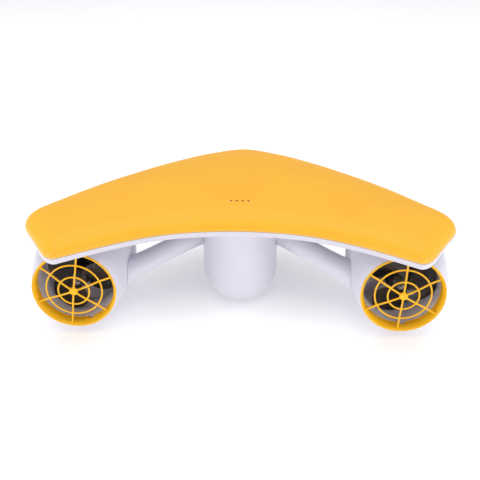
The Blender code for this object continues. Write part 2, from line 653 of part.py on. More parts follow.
def blade_loops(bm, start_angle, side):
    """One broad propeller blade as sections wrapped round the shaft; side sets its hand."""
    loops = []
    for share in np.linspace(0.0, 1.0, 6):
        radius = 0.0115 + 0.0340 * share
        chord = 0.018 + 0.042 * math.sin(math.pi * min(1.0, 0.12 + 0.62 * share)) * (1.0 - 0.45 * share ** 6)
        pitch = math.atan2(0.0115, radius)
        thick = 0.0034 - 0.0019 * share
        section = []
        for a in np.linspace(0.0, math.tau, 9)[:-1]:
            run = 0.5 * chord * math.cos(a)
            off = 0.5 * thick * math.sin(a)
            turn = start_angle + side * (run * math.cos(pitch) - off * math.sin(pitch)) / radius
            y = BLADE_Y + run * math.sin(pitch) + off * math.cos(pitch)
            section.append(bm.verts.new((radius * math.cos(turn), y, radius * math.sin(turn))))
        loops.append(section)
    for first, second in zip(loops, loops[1:]):
        bridge(bm, first, second)
    bm.faces.new(loops[0])
    bm.faces.new(loops[-1])


def make_propeller(side, word, first_blade):
    """Three broad blades on a hub that is bored for the shaft; the first blade's angle is in degrees."""
    hub = [(0.0230, 0.0028), (0.0230, 0.0075), (0.0260, 0.0108), (0.0310, 0.0128), (0.0440, 0.0130),
           (0.0440, 0.0028)]
    propeller = lathe(f"propeller_{word}", hub, BLACK, 20)
    for i in range(3):
        bm = bmesh.new()
        blade_loops(bm, math.radians(first_blade + 120 * i), side)
        blade = hang(add_object(f"blade_{word}_{i}", bm, None), propeller)
        boolean(propeller, blade, 'UNION')
    return propeller


def make_carrier(word):
    """White ring in the duct with five vanes and the tube that holds the motor."""
    ring = [(0.0540, 0.0461), (0.0540, 0.0472), (0.0880, 0.0472), (0.0880, 0.0461)]
    tube = [(0.0500, 0.0184), (0.0500, 0.0204), (0.0920, 0.0204), (0.0920, 0.0184)]
    carrier = lathe(f"motor_carrier_{word}", ring, WHITE)
    boolean(carrier, hang(lathe(f"carrier_tube_{word}", tube, None, 28), carrier), 'UNION')
    for i in range(5):
        vane = block(f"vane_{word}_{i}", (0.0022, 0.030, 0.0272), (0, 0.071, 0.0330), None)
        turn = Matrix.Rotation(math.tau * i / 5, 4, 'Y')
        vane.data.transform(turn)
        boolean(carrier, hang(vane, carrier), 'UNION')
    return carrier


def make_thruster(side, word):
    """All pieces of one thruster, on an empty that sits on the shaft's axis in the duct's rear plane."""
    centre = empty(f"thruster_{word}", (side * DUCT_X, DUCT_Y, DUCT_Z))
    nacelle = lathe(f"nacelle_{word}", nacelle_profile(), WHITE)
    flat_z = FLOOR_Z - GAP - DUCT_Z
    deck_cut = block(f"deck_cut_{word}", (0.2, 0.3, 0.05), (0, 0.07, flat_z + 0.025), None)
    cable_y = CABLE_Y - DUCT_Y
    cable_cut = rod(f"cable_cut_{word}", 0.0026, (0, cable_y, 0.040), (0, cable_y, 0.07), None, 12)
    boolean(nacelle, deck_cut, 'DIFFERENCE')
    boolean(nacelle, cable_cut, 'DIFFERENCE')

    rear = make_guard(f"rear_guard_{word}", (0.0190, 0.0342), 0.0038, 0.0052, SEAT_END - GAP, YELLOW, False)
    guard_turn, notch_turn, first_blade = THRUSTER_TURNS[word]
    notch = block(f"notch_{word}", (0.0080, 0.0120, 0.0070), (0, SEAT_END, -0.0485), None)
    notch.data.transform(Matrix.Rotation(-math.radians(notch_turn + guard_turn), 4, 'Y'))
    boolean(rear, hang(notch, rear), 'DIFFERENCE')
    rear.rotation_euler = (0, math.radians(guard_turn), 0)
    front = make_guard(f"front_guard_{word}", (0.0160, 0.0296), 0.0060, 0.0060, 0.0120, YELLOW, True)
    front.location = (0, 0.1235, 0)
    propeller = make_propeller(side, word, first_blade)
    parts = [nacelle, deck_cut, cable_cut, rear, front, make_carrier(word), propeller]

    housing = [(0.0452, 0.0083), (0.0452, 0.0110), (0.0475, 0.0150), (0.0510, 0.0180), (0.0955, 0.0180),
               (0.0955, 0.0167), (0.0560, 0.0167), (0.0560, 0.0083)]
    nose = [(0.0880, 0.0083), (0.0880, 0.0105), (0.0958, 0.0105), (0.0958, 0.0180), (0.0995, 0.0178),
            (0.1060, 0.0155), (0.1120, 0.0110), (0.1160, 0.0050), (0.1170, 0.0), (0.0980, 0.0),
            (0.0980, 0.0032), (0.0935, 0.0032), (0.0935, 0.0083)]
    stator = [(0.0600, 0.0102), (0.0590, 0.0125), (0.0600, 0.0150), (0.0625, 0.0163), (0.0815, 0.0163),
              (0.0840, 0.0150), (0.0850, 0.0125), (0.0840, 0.0102)]
    rotor = [(0.0610, 0.0028), (0.0610, 0.0088), (0.0620, 0.0096), (0.0820, 0.0096), (0.0830, 0.0088),
             (0.0830, 0.0028)]
    shaft = [(0.0150, 0.0), (0.0150, 0.0016), (0.0155, 0.0020), (0.0228, 0.0020), (0.0228, SHAFT_RADIUS),
             (0.0960, SHAFT_RADIUS), (0.0965, 0.0020), (0.0965, 0.0)]
    parts.append(lathe(f"motor_housing_{word}", housing, ALUMINIUM, FINE_STEPS + 4))
    parts.append(lathe(f"nose_cone_{word}", nose, BLACK, FINE_STEPS))
    parts.append(lathe(f"motor_stator_{word}", stator, COPPER, FINE_STEPS))
    parts.append(lathe(f"motor_rotor_{word}", rotor, STEEL, FINE_STEPS))
    parts.append(lathe(f"motor_shaft_{word}", shaft, STEEL, 16))
    for name, start, length, finish in (("bearing_rear", 0.0500, 0.0050, STEEL),
                                        ("bearing_front", 0.0885, 0.0047, STEEL),
                                        ("shaft_seal", 0.0456, 0.0040, RUBBER)):
        ring = [(start, 0.0029), (start, 0.0080), (start + length, 0.0080), (start + length, 0.0029)]
        parts.append(lathe(f"{name}_{word}", ring, finish, FINE_STEPS))
    nut = lathe(f"propeller_nut_{word}", [(0.0175, 0.0023), (0.0175, 0.0040), (0.0227, 0.0044),
                                          (0.0227, 0.0023)], STEEL, 12)
    parts.append(nut)
    for part in parts:
        part.parent = centre


def make_camera_insert():
    """Threaded brass insert, flush in the boss under the nose."""
    profile = [(0.0, 0.0026), (0.0, 0.0044), (0.0090, 0.0044), (0.0090, 0.0026)]
    insert = lathe("camera_insert", profile, BRASS, FINE_STEPS)
    insert.rotation_euler = (math.radians(90), 0, 0)
    insert.location = (0, CAMERA_Y, BOSS_Z + 0.0003)


make_top_cover()
make_lower_shell()
make_deck_seal()
make_deck_screws()
make_indicator()
make_controller()
make_camera_insert()
make_pod()
make_battery()
make_knobs()
for SIDE, WORD in ((-1, "left"), (1, "right")):
    make_grip(SIDE, WORD)
    make_motor_cable(SIDE, WORD)
    make_thruster(SIDE, WORD)
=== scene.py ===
import math

import bmesh
import bpy
import numpy as np
from mathutils import Matrix, Vector


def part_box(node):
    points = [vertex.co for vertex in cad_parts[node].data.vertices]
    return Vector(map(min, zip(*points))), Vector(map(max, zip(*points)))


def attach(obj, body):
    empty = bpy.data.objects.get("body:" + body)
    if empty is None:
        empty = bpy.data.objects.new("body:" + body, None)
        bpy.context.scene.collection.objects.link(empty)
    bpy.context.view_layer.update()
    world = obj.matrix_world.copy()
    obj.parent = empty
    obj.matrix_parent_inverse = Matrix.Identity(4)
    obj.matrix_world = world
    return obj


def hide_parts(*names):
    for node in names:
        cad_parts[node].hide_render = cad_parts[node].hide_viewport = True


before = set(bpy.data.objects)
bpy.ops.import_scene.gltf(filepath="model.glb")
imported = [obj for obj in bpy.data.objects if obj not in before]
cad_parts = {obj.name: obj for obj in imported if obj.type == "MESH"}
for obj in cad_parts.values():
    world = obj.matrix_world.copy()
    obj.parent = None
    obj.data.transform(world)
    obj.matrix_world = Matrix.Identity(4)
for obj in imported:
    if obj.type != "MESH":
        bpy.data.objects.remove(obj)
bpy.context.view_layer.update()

SIDES = ((-1, "left"), (1, "right"))

# ---- Studio: floor, lamps and camera -------------------------------------------------------------
# A pale seamless paper floor with a broad lamp overhead, a softbox behind the camera, one low on each
# side that reaches into the ducts, and pale walls. The floor glows a little, so that it stays white.
FLOOR_SIZE = 9.0
FLOOR_GLOW = 0.22
HORIZON_LIGHT = 0.30
CEILING_LIGHT = 0.70
CAMERA_PLACE = (0.03192529, -0.94676943, 0.58326303)
CAMERA_TURN = math.radians(-2.011)
CAMERA_DIP = math.radians(28.59)
CAMERA_ROLL = math.radians(-0.21)
CAMERA_LENS = 59.943


class Wire:
    """A socket of a node tree. Arithmetic on it adds Math nodes; node() adds any other node."""

    def __init__(self, socket):
        self.socket = socket

    def node(self, kind, settings=(), inputs=(), output=0):
        tree = self.socket.id_data
        made = tree.nodes.new(kind)
        for key, value in dict(settings).items():
            if key == "stops":
                ramp = made.color_ramp.elements
                while len(ramp) < len(value):
                    ramp.new(0.5)
                for stop, (place, colour) in zip(ramp, value):
                    stop.position = place
                    stop.color = (*colour, 1.0)
            else:
                setattr(made, key, value)
        for key, value in dict(inputs).items():
            if isinstance(value, Wire):
                tree.links.new(value.socket, made.inputs[key])
            else:
                made.inputs[key].default_value = value
        return Wire(made.outputs[output])

    def maths(self, operation, first, second=0.0):
        return self.node("ShaderNodeMath", {"operation": operation}, {0: first, 1: second})

    def __add__(self, other):
        return self.maths("ADD", self, other)

    def __sub__(self, other):
        return self.maths("SUBTRACT", self, other)

    def __rsub__(self, other):
        return self.maths("SUBTRACT", other, self)

    def __mul__(self, other):
        return self.maths("MULTIPLY", self, other)

    __radd__ = __add__
    __rmul__ = __mul__

    def between(self, low, high):
        """0 below low, 1 above high, smooth between them."""
        return self.node("ShaderNodeMapRange", {"interpolation_type": 'SMOOTHSTEP'},
                         {"Value": self, "From Min": low, "From Max": high})

    def noise(self, scale, detail=2.0):
        """Cloudy noise around 0.5, with self as the place."""
        return self.node("ShaderNodeTexNoise", {},
                         {"Vector": self, "Scale": scale, "Detail": detail})

    def stretched(self, scale):
        """self as a place, scaled along X, Y and Z."""
        return self.node("ShaderNodeVectorMath", {"operation": 'MULTIPLY'}, {0: self, 1: scale})

    def blend(self, first, second):
        """Colour first where self is 0 and second where it is 1."""
        colours = [c if isinstance(c, Wire) else (*c, 1.0) for c in (first, second)]
        return self.node("ShaderNodeMix", {"data_type": 'RGBA'},
                         {0: self, 6: colours[0], 7: colours[1]}, 2)

    def relief(self, height, depth, strength=1.0):
        """Surface normal from a height of 0 to 1 that stands for depth metres."""
        return self.node("ShaderNodeBump", {},
                         {"Height": height, "Distance": depth, "Strength": strength})


def new_material(name):
    """An empty material, and the place on its object in metres as a Wire."""
    made = bpy.data.materials.new(name)
    made.use_nodes = True
    made.node_tree.nodes.clear()
    place = made.node_tree.nodes.new("ShaderNodeTexCoord").outputs["Object"]
    return made, Wire(place)


def finish_material(made, place, **inputs):
    """Closes the material with a Principled shader; its constants are set on its own sockets."""
    sockets = {key.replace("_", " "): value for key, value in inputs.items()}
    shader = place.node("ShaderNodeBsdfPrincipled", {}, sockets)
    end = made.node_tree.nodes.new("ShaderNodeOutputMaterial")
    made.node_tree.links.new(shader.socket, end.inputs["Surface"])
    return made


def paper_material():
    made, place = new_material("studio_paper")
    mottle = place.noise(3.0).blend((0.93, 0.93, 0.93), (0.95, 0.95, 0.95))
    return finish_material(made, place, Base_Color=mottle, Roughness=0.9, Emission_Color=(1, 1, 1, 1),
                           Emission_Strength=FLOOR_GLOW)


def studio_floor():
    bm = bmesh.new()
    bmesh.ops.create_grid(bm, x_segments=6, y_segments=6, size=FLOOR_SIZE / 2)
    mesh = bpy.data.meshes.new("studio_floor")
    bm.to_mesh(mesh)
    bm.free()
    mesh.materials.append(paper_material())
    floor = bpy.data.objects.new("studio_floor", mesh)
    bpy.context.scene.collection.objects.link(floor)


def softbox(name, place, aim, size, power):
    lamp = bpy.data.lights.new(name, 'AREA')
    lamp.shape = 'RECTANGLE'
    lamp.size, lamp.size_y = size
    lamp.energy = power
    made = bpy.data.objects.new(name, lamp)
    made.location = place
    made.rotation_euler = (Vector(aim) - Vector(place)).to_track_quat('-Z', 'Y').to_euler()
    bpy.context.scene.collection.objects.link(made)


def studio_camera():
    camera = bpy.data.objects.new("camera", bpy.data.cameras.new("camera"))
    camera.data.lens = CAMERA_LENS
    camera.data.clip_start = 0.02
    turn = Matrix.Rotation(-CAMERA_TURN, 4, 'Z') @ Matrix.Rotation(math.pi / 2 - CAMERA_DIP, 4, 'X')
    camera.matrix_world = Matrix.Translation(CAMERA_PLACE) @ turn @ Matrix.Rotation(CAMERA_ROLL, 4, 'Z')
    bpy.context.scene.collection.objects.link(camera)
    bpy.context.scene.camera = camera


def studio_walls():
    """Soft light from all round, dim at the horizon and brighter towards the ceiling."""
    world = bpy.data.worlds.new("studio_walls")
    world.use_nodes = True
    tree = world.node_tree
    direction = Wire(tree.nodes.new("ShaderNodeTexCoord").outputs["Generated"])
    height = direction.node("ShaderNodeSeparateXYZ", {}, {0: direction}, 2)
    light = height.between(-0.2, 1.0) * (CEILING_LIGHT - HORIZON_LIGHT) + HORIZON_LIGHT
    background = tree.nodes["Background"]
    background.inputs["Color"].default_value = (0.96, 0.965, 1.0, 1.0)
    tree.links.new(light.socket, background.inputs["Strength"])
    bpy.context.scene.world = world


studio_floor()
softbox("overhead", (0.0, 0.30, 1.9), (0, 0, 0), (2.6, 1.8), 21)
softbox("behind_camera", (0.20, -1.2, 2.3), (0, -0.1, 0.1), (1.0, 0.6), 4.5)
softbox("left_side", (-1.6, -1.0, 0.22), (0, -0.05, 0.05), (0.9, 0.4), 10)
softbox("right_side", (1.6, -1.0, 0.22), (0, -0.05, 0.05), (0.9, 0.4), 10)
studio_camera()
studio_walls()
bpy.context.scene.view_settings.view_transform = 'Standard'

# ---- Deck cover ----------------------------------------------------------------------------------
# The yellow upper half of the wing: one injection-moulded shell, 3 mm thick, with a rounded edge and
# a gentle crown. It closes on the white tray along a fine seam and has four small lamp windows.
SEAM_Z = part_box("top_cover")[0].z
SEAM_ROUND = 0.0004
DECK_WALL = 0.003
EDGE_RISE = 0.0150
EDGE_WIDTH = 0.022
CROWN_RISE = 0.0095
CROWN_WIDTH = 0.105
REAR_EDGE = [(0.0, -0.0834), (0.047, -0.0862), (0.0935, -0.0960), (0.139, -0.1150), (0.180, -0.1382),
             (0.2020, -0.1518)]
REAR_CORNER = (0.2120, -0.1570)
TIP_EDGE = [(0.2215, -0.1530), (0.2300, -0.1415), (0.2450, -0.1150), (0.2605, -0.0885), (0.2665, -0.0710)]
FRONT_CORNER = (0.2610, -0.0500)
FRONT_EDGE = [(0.238, -0.0215), (0.196, 0.0260), (0.150, 0.0690), (0.104, 0.1065), (0.053, 0.1390)]
NOSE = (0.0, 0.1570)
RING_SMOOTHING = 14             # passes over each inset ring, so that it doesn't fold at the corners
LONG_SIDE = 144                 # mesh steps along the rear and the front edge
SHORT_SIDE = 36                 # mesh steps round each tip
GRID_RELAXING = 60              # passes that even out the grid inside the last ring
LAMP_PLACES = [((i - 1.5) * 0.0073, -0.040) for i in range(4)]
YELLOW = (0.960, 0.478, 0.034)


def smooth_curve(points, before, after, steps):
    """Catmull-Rom curve through the points; returns steps + 1 points, equally many on each span."""
    guide = [Vector(p) for p in [before, *points, after]]
    spans = len(guide) - 3
    line = []
    for k in range(steps + 1):
        place = min(spans * k / steps, spans - 1e-9)
        p0, p1, p2, p3 = guide[int(place):int(place) + 4]
        t = place - int(place)
        line.append(tuple(0.5 * (2 * p1 + (p2 - p0) * t + (2 * p0 - 5 * p1 + 4 * p2 - p3) * t ** 2
                                 + (3 * p1 - p0 - 3 * p2 + p3) * t ** 3)))
    return line


def mirrored(points):
    return [(-x, y) for x, y in reversed(points)]


def deck_outline():
    """Closed outline, anticlockwise from the left rear corner."""
    rear = smooth_curve([*REAR_EDGE, REAR_CORNER], mirrored(REAR_EDGE)[-2], TIP_EDGE[0], LONG_SIDE // 2)
    tip = smooth_curve([REAR_CORNER, *TIP_EDGE, FRONT_CORNER], REAR_EDGE[-1], FRONT_EDGE[0], SHORT_SIDE)
    front = smooth_curve([FRONT_CORNER, *FRONT_EDGE, NOSE], TIP_EDGE[-1], mirrored(FRONT_EDGE)[0],
                         LONG_SIDE // 2)
    sides = [mirrored(rear)[:-1] + rear, tip, front[:-1] + mirrored(front), mirrored(tip)]
    return np.array([p for side in sides for p in side[:-1]])


def inset(ring, distance):
    """Moves each outline point inwards, square to the outline."""
    along = np.roll(ring, -1, axis=0) - np.roll(ring, 1, axis=0)
    inward = np.column_stack([-along[:, 1], along[:, 0]])
    return ring + inward / np.linalg.norm(inward, axis=1)[:, None] * distance


def edge_distance(points):
    """Distance of each point to the deck's outline."""
    start = deck_outline()[::2]
    run = np.roll(start, -1, axis=0) - start
    spots = points[:, None, :]
    share = np.clip(((spots - start) * run).sum(axis=2) / (run * run).sum(axis=1), 0.0, 1.0)
    return np.sqrt(((spots - start - share[:, :, None] * run) ** 2).sum(axis=2)).min(axis=1)


def crown(points):
    """Height of the cover's outer face at each (x, y)."""
    inside = edge_distance(points)
    edge = 1.0 - np.clip(inside / EDGE_WIDTH, 0.0, 1.0)
    middle = 1.0 - np.clip(inside / CROWN_WIDTH, 0.0, 1.0)
    return SEAM_Z + EDGE_RISE * np.sqrt(1.0 - edge ** 2) + CROWN_RISE * (1.0 - middle ** 2)


def add_ring(bm, points, heights):
    return [bm.verts.new((x, y, z)) for (x, y), z in zip(points, np.broadcast_to(heights, len(points)))]


def bridge(bm, first, second):
    """A closed band of faces between two rings of equal count."""
    for i in range(len(first)):
        j = (i + 1) % len(first)
        bm.faces.new((first[i], first[j], second[j], second[i]))


def fill_deck_ring(bm, ring, heights):
    """Closes a ring with an evenly spaced four-sided grid; returns the grid's inner points."""
    rear = ring[:LONG_SIDE + 1]
    right = ring[LONG_SIDE:LONG_SIDE + SHORT_SIDE + 1]
    front = ring[LONG_SIDE + SHORT_SIDE:2 * LONG_SIDE + SHORT_SIDE + 1][::-1]
    left = (ring[2 * LONG_SIDE + SHORT_SIDE:] + ring[:1])[::-1]
    flat = {key: np.array([v.co[:2] for v in side]) for key, side in
            (("rear", rear), ("right", right), ("front", front), ("left", left))}
    u = np.linspace(0.0, 1.0, LONG_SIDE + 1)[:, None]
    rows = [rear]
    inner = []
    for k in range(1, SHORT_SIDE):
        v = k / SHORT_SIDE
        along = (1 - v) * flat["rear"] + v * flat["front"]
        across = (1 - u) * flat["left"][k] + u * flat["right"][k]
        corners = ((1 - u) * ((1 - v) * flat["rear"][0] + v * flat["front"][0])
                   + u * ((1 - v) * flat["rear"][-1] + v * flat["front"][-1]))
        points = (along + across - corners)[1:-1]
        middle = add_ring(bm, points, 0.0)
        inner += middle
        rows.append([left[k], *middle, right[k]])
    rows.append(front)
    for low, high in zip(rows, rows[1:]):
        for i in range(LONG_SIDE):
            bm.faces.new((low[i], low[i + 1], high[i + 1], high[i]))
    for _ in range(GRID_RELAXING):
        bmesh.ops.smooth_vert(bm, verts=inner, factor=0.5, use_axis_x=True, use_axis_y=True,
                              use_axis_z=False)
    points = np.array([v.co[:2] for v in inner])
    for vertex, height in zip(inner, np.broadcast_to(heights(points), len(inner))):
        vertex.co.z = height
    return inner


def shade(mesh, sharp=35.0):
    mesh.shade_smooth()
    mesh.set_sharp_from_angle(angle=math.radians(sharp))


def add_object(name, bm, sharp=35.0):
    """One object from a bmesh, with outward faces and smooth round stretches."""
    bmesh.ops.recalc_face_normals(bm, faces=bm.faces)
    mesh = bpy.data.meshes.new(name)
    bm.to_mesh(mesh)
    bm.free()
    shade(mesh, sharp)
    made = bpy.data.objects.new(name, mesh)
    bpy.context.scene.collection.objects.link(made)
    return made


def fit(piece, finish, body, node):
    """Gives a finished piece its material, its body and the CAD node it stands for."""
    piece.data.materials.clear()
    piece.data.materials.append(finish)
    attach(piece, body)
    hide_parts(node)


def loft(bm, loops, close_first=False):
    """Skins loops of vertices with closed bands and end faces."""
    if close_first:
        bm.faces.new(loops[0])
        bm.faces.new(loops[-1])
    for first, second in zip(loops, loops[1:]):
        bridge(bm, first, second)
    if not close_first:
        bm.faces.new(loops[0])
        bm.faces.new(loops[-1])


def around(steps):
    """Angles evenly round a full turn."""
    return np.linspace(0.0, math.tau, steps + 1)[:-1]


def settle(target, sharp=35.0):
    """Applies an object's modifiers to its mesh."""
    bpy.context.view_layer.update()
    ready = target.evaluated_get(bpy.context.evaluated_depsgraph_get())
    mesh = bpy.data.meshes.new_from_object(ready)
    target.modifiers.clear()
    target.data = mesh
    shade(mesh, sharp)
    return target


def combine(target, operands, operation, sharp=35.0):
    """Unites the target with the operands, or cuts them out of it, and removes them."""
    for operand in operands:
        step = target.modifiers.new("step", 'BOOLEAN')
        step.operation = operation
        step.solver = 'EXACT'
        step.object = operand
    settle(target, sharp)
    for operand in operands:
        bpy.data.objects.remove(operand)
    return target


def turned(name, profile, steps=96):
    """Turns a closed profile of (y, radius) points about the Y axis."""
    bm = bmesh.new()
    points = [bm.verts.new((radius, y, 0.0)) for y, radius in profile]
    edges = []
    for first, second in zip(points, points[1:] + points[:1]):
        if first.co.x > 1e-9 or second.co.x > 1e-9:
            edges.append(bm.edges.new((first, second)))
    bmesh.ops.spin(bm, geom=points + edges, axis=(0, 1, 0), cent=(0, 0, 0), angle=math.tau,
                   steps=steps, use_merge=True)
    bmesh.ops.remove_doubles(bm, verts=bm.verts, dist=1e-7)
    return add_object(name, bm)


def rod(name, radius, start, end, steps=32):
    """A round bar between two points."""
    start = Vector(start)
    run = Vector(end) - start
    made = turned(name, [(0.0, 0.0), (0.0, radius), (run.length, radius), (run.length, 0.0)], steps)
    made.data.transform(Matrix.Translation(start) @ run.to_track_quat('Y', 'Z').to_matrix().to_4x4())
    return made


def moulded_plastic(name, colour, roughness, grain=0.00004, coat=0.0, wear=0.35, gloss=0.5):
    """Moulded plastic: fine spark-erosion grain, a faint cloudiness, rub marks and paler edges."""
    made, place = new_material(name)
    cloud = place.noise(9.0, 3.0)
    speck = place.noise(900.0, 2.0)
    rub = place.stretched((40.0, 9.0, 40.0)).noise(1.0, 4.0).between(0.62, 0.74)
    edge = place.node("ShaderNodeNewGeometry", output="Pointiness").between(0.53, 0.62) * wear
    darker = tuple(c * 0.955 for c in colour)
    paler = tuple(c + (1 - c) * 0.35 for c in colour)
    body = cloud.between(0.3, 0.7).blend(darker, colour)
    body = edge.blend(body, paler)
    rough = (cloud - 0.5) * 0.10 + (speck - 0.5) * 0.12 + rub * 0.06 + roughness
    height = speck * 0.7 + place.noise(2600.0, 1.0) * 0.3
    return finish_material(made, place, Base_Color=body, Roughness=rough, Coat_Weight=coat,
                           Coat_Roughness=0.25, Specular_IOR_Level=gloss, IOR=1.5,
                           Normal=place.relief(height, grain))


def make_deck_cover():
    bm = bmesh.new()
    outline = deck_outline()
    rings = [add_ring(bm, inset(outline, SEAM_ROUND), SEAM_Z), add_ring(bm, outline, SEAM_Z + SEAM_ROUND)]
    points = outline
    angles = (0.0, 0.30, 0.45, 0.60, 0.75, 0.90, 1.02)
    for before, angle in zip(angles, angles[1:]):
        points = inset(points, EDGE_WIDTH * (math.cos(before) - math.cos(angle)))
        for _ in range(RING_SMOOTHING):
            points = (np.roll(points, 1, axis=0) + 2 * points + np.roll(points, -1, axis=0)) / 4
        rings.append(add_ring(bm, points, crown(points)))
    for first, second in zip(rings, rings[1:]):
        bridge(bm, first, second)
    inner = fill_deck_ring(bm, rings[-1], crown)
    for _ in range(24):
        bmesh.ops.smooth_vert(bm, verts=inner, factor=0.5, use_axis_x=False, use_axis_y=False,
                              use_axis_z=True)
    cover = add_object("deck_cover", bm)
    wall = cover.modifiers.new("wall", 'SOLIDIFY')
    wall.thickness = DECK_WALL
    wall.offset = -1.0
    settle(cover)
    windows = [rod("window", 0.0017, (x, y, SEAM_Z), (x, y, SEAM_Z + 0.04)) for x, y in LAMP_PLACES]
    combine(cover, windows, 'DIFFERENCE')
    fit(cover, yellow_plastic, "root", "top_cover")


yellow_plastic = moulded_plastic("yellow_moulded_plastic", YELLOW, 0.40, gloss=0.20)
make_deck_cover()

# ---- Deck tray -----------------------------------------------------------------------------------
# The white lower half of the wing: rim, rounded lower edge and flat floor in one moulding. Holes for
# the motor cables and the screws go through the floor, and a round pad under the nose takes a camera.
DECK_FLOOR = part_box("lower_shell")[0].z + 0.0015
PAD_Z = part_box("lower_shell")[0].z
PAD_Y = 0.134
CABLE_PLACES = [(side * 0.200, -0.052) for side, _ in SIDES]
SCREW_PLACES = [(-0.098, 0.040), (0.098, 0.040), (-0.118, -0.055), (0.118, -0.055)]
WHITE = (0.700, 0.680, 0.760)

white_plastic = moulded_plastic("white_moulded_plastic", WHITE, 0.40, coat=0.10, wear=0.15)


def make_deck_tray():
    bm = bmesh.new()
    outline = deck_outline()
    rim = SEAM_Z - 0.0003
    outside = [(SEAM_ROUND, rim), (0.0, rim - SEAM_ROUND)]
    outside += [(0.0045 * (1 - math.cos(a)), DECK_FLOOR + 0.0045 * (1 - math.sin(a)))
                for a in np.linspace(0.0, math.pi / 2, 7)]
    inside = [(0.0020, rim), (0.0020, rim - 0.0015), (0.0042, rim - 0.0015), (0.0042, rim), (0.0062, rim),
              (0.0062, DECK_FLOOR + DECK_WALL)]
    outer = [add_ring(bm, inset(outline, d), z) for d, z in outside]
    inner = [add_ring(bm, inset(outline, d), z) for d, z in inside]
    for first, second in [*zip(outer, outer[1:]), (outer[0], inner[0]), *zip(inner, inner[1:])]:
        bridge(bm, first, second)
    fill_deck_ring(bm, outer[-1], lambda points: DECK_FLOOR)
    fill_deck_ring(bm, inner[-1], lambda points: DECK_FLOOR + DECK_WALL)
    tray = add_object("deck_tray", bm)
    pad = turned("pad", [(0.0, 0.0), (0.0, 0.0120), (0.0005, 0.0125), (0.0115, 0.0125), (0.0115, 0.0)], 48)
    pad.data.transform(Matrix.Translation((0, PAD_Y, PAD_Z)) @ Matrix.Rotation(math.pi / 2, 4, 'X'))
    combine(tray, [pad], 'UNION')
    holes = [rod("hole", 0.0045, (x, y, 0.10), (x, y, 0.13)) for x, y in CABLE_PLACES]
    holes += [rod("hole", 0.0019, (x, y, 0.10), (x, y, 0.13)) for x, y in SCREW_PLACES]
    holes.append(rod("hole", 0.0048, (0, PAD_Y, 0.10), (0, PAD_Y, PAD_Z + 0.0100)))
    combine(tray, holes, 'DIFFERENCE')
    fit(tray, white_plastic, "root", "lower_shell")


make_deck_tray()


def dress(finish, *nodes):
    """Gives CAD nodes their material."""
    for name in nodes:
        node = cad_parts[name]
        node.data.materials.clear()
        node.data.materials.append(finish)


def both(*names):
    return [f"{name}_{word}" for name in names for _, word in SIDES]


# ---- Deck seal and the other rubber pieces -------------------------------------------------------
# Nitrile rubber: a cord in the groove of the tray's rim, the lip seals on the motor shafts and the
# sheath of the motor cables. Matt, slightly greyed where it has been handled and greased.
def rubber(name):
    made, place = new_material(name)
    bloom = place.noise(45.0, 4.0).between(0.45, 0.75)
    shade_of = bloom.blend((0.016, 0.016, 0.017), (0.045, 0.044, 0.043))
    rough = bloom * 0.15 + 0.62
    return finish_material(made, place, Base_Color=shade_of, Roughness=rough,
                           Normal=place.relief(place.noise(1800.0, 3.0), 0.00003))


black_rubber = rubber("black_nitrile_rubber")
dress(black_rubber, "deck_seal", *both("motor_cable", "shaft_seal"))

# ---- Deck screws ---------------------------------------------------------------------------------
# Stainless pan-head screws driven up through the tray's floor, each with a cross recess in its head.
# The heads are cold formed, with faint rings from the die.
SCREW_HEAD_Z = DECK_FLOOR - 0.0003 - 0.0020


def metal(name, colour, roughness, rings=2400.0, depth=0.000012):
    """Turned metal: fine rings along Y, brighter and duller bands and a few stains."""
    made, place = new_material(name)
    ring = place.stretched((40.0, rings, 40.0)).noise(1.0, 3.0)
    stain = place.noise(120.0, 3.0).between(0.55, 0.8)
    tone = stain.blend(colour, tuple(c * 0.72 for c in colour))
    rough = (ring - 0.5) * 0.22 + stain * 0.10 + roughness
    return finish_material(made, place, Base_Color=tone, Metallic=1.0, Roughness=rough,
                           Normal=place.relief(ring, depth))


stainless = metal("stainless_steel", (0.66, 0.66, 0.68), 0.24)


def block(name, size, centre, rounding=0.0, segments=3):
    """A box of a size about a centre, with rounded edges where rounding is given."""
    bm = bmesh.new()
    bmesh.ops.create_cube(bm, size=1.0)
    bmesh.ops.scale(bm, vec=size, verts=bm.verts)
    if rounding:
        bmesh.ops.bevel(bm, geom=bm.edges, offset=rounding, segments=segments, affect='EDGES', profile=0.5)
    bmesh.ops.translate(bm, vec=centre, verts=bm.verts)
    return add_object(name, bm)


def cut_box(name, low, high):
    low, high = Vector(low), Vector(high)
    return block(name, high - low, (low + high) / 2)


def make_deck_screws():
    head = [(0.0, 0.0), (0.0, 0.0022), (0.0003, 0.0028), (0.0008, 0.0032), (0.0014, 0.0034), (0.0020, 0.0034),
            (0.0020, 0.0015), (0.0125, 0.0015), (0.0135, 0.0008), (0.0135, 0.0)]
    for i, (x, y) in enumerate(SCREW_PLACES):
        screw = turned(f"pan_head_screw_{i + 1}", head, 40)
        slots = [block("slot", size, (0, 0, 0))
                 for size in ((0.0007, 0.0022, 0.0030), (0.0030, 0.0022, 0.0007))]
        combine(screw, slots, 'DIFFERENCE')
        screw.data.transform(Matrix.Rotation(math.radians(20 + 37 * i), 4, 'Y'))
        screw.data.transform(Matrix.Translation((x, y, SCREW_HEAD_Z)) @ Matrix.Rotation(math.pi / 2, 4, 'X'))
        fit(screw, stainless, "root", f"deck_screw_{i + 1}")


make_deck_screws()

# ---- Charge lamps --------------------------------------------------------------------------------
# Four smoked stubs on one clear bar show the charge through the cover. The bar snaps over a small
# green circuit board with the lamps on it.
PIPE_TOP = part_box("indicator_board")[1].z + 0.0003 + 0.0024
BOARD_GREEN = (0.012, 0.120, 0.045)


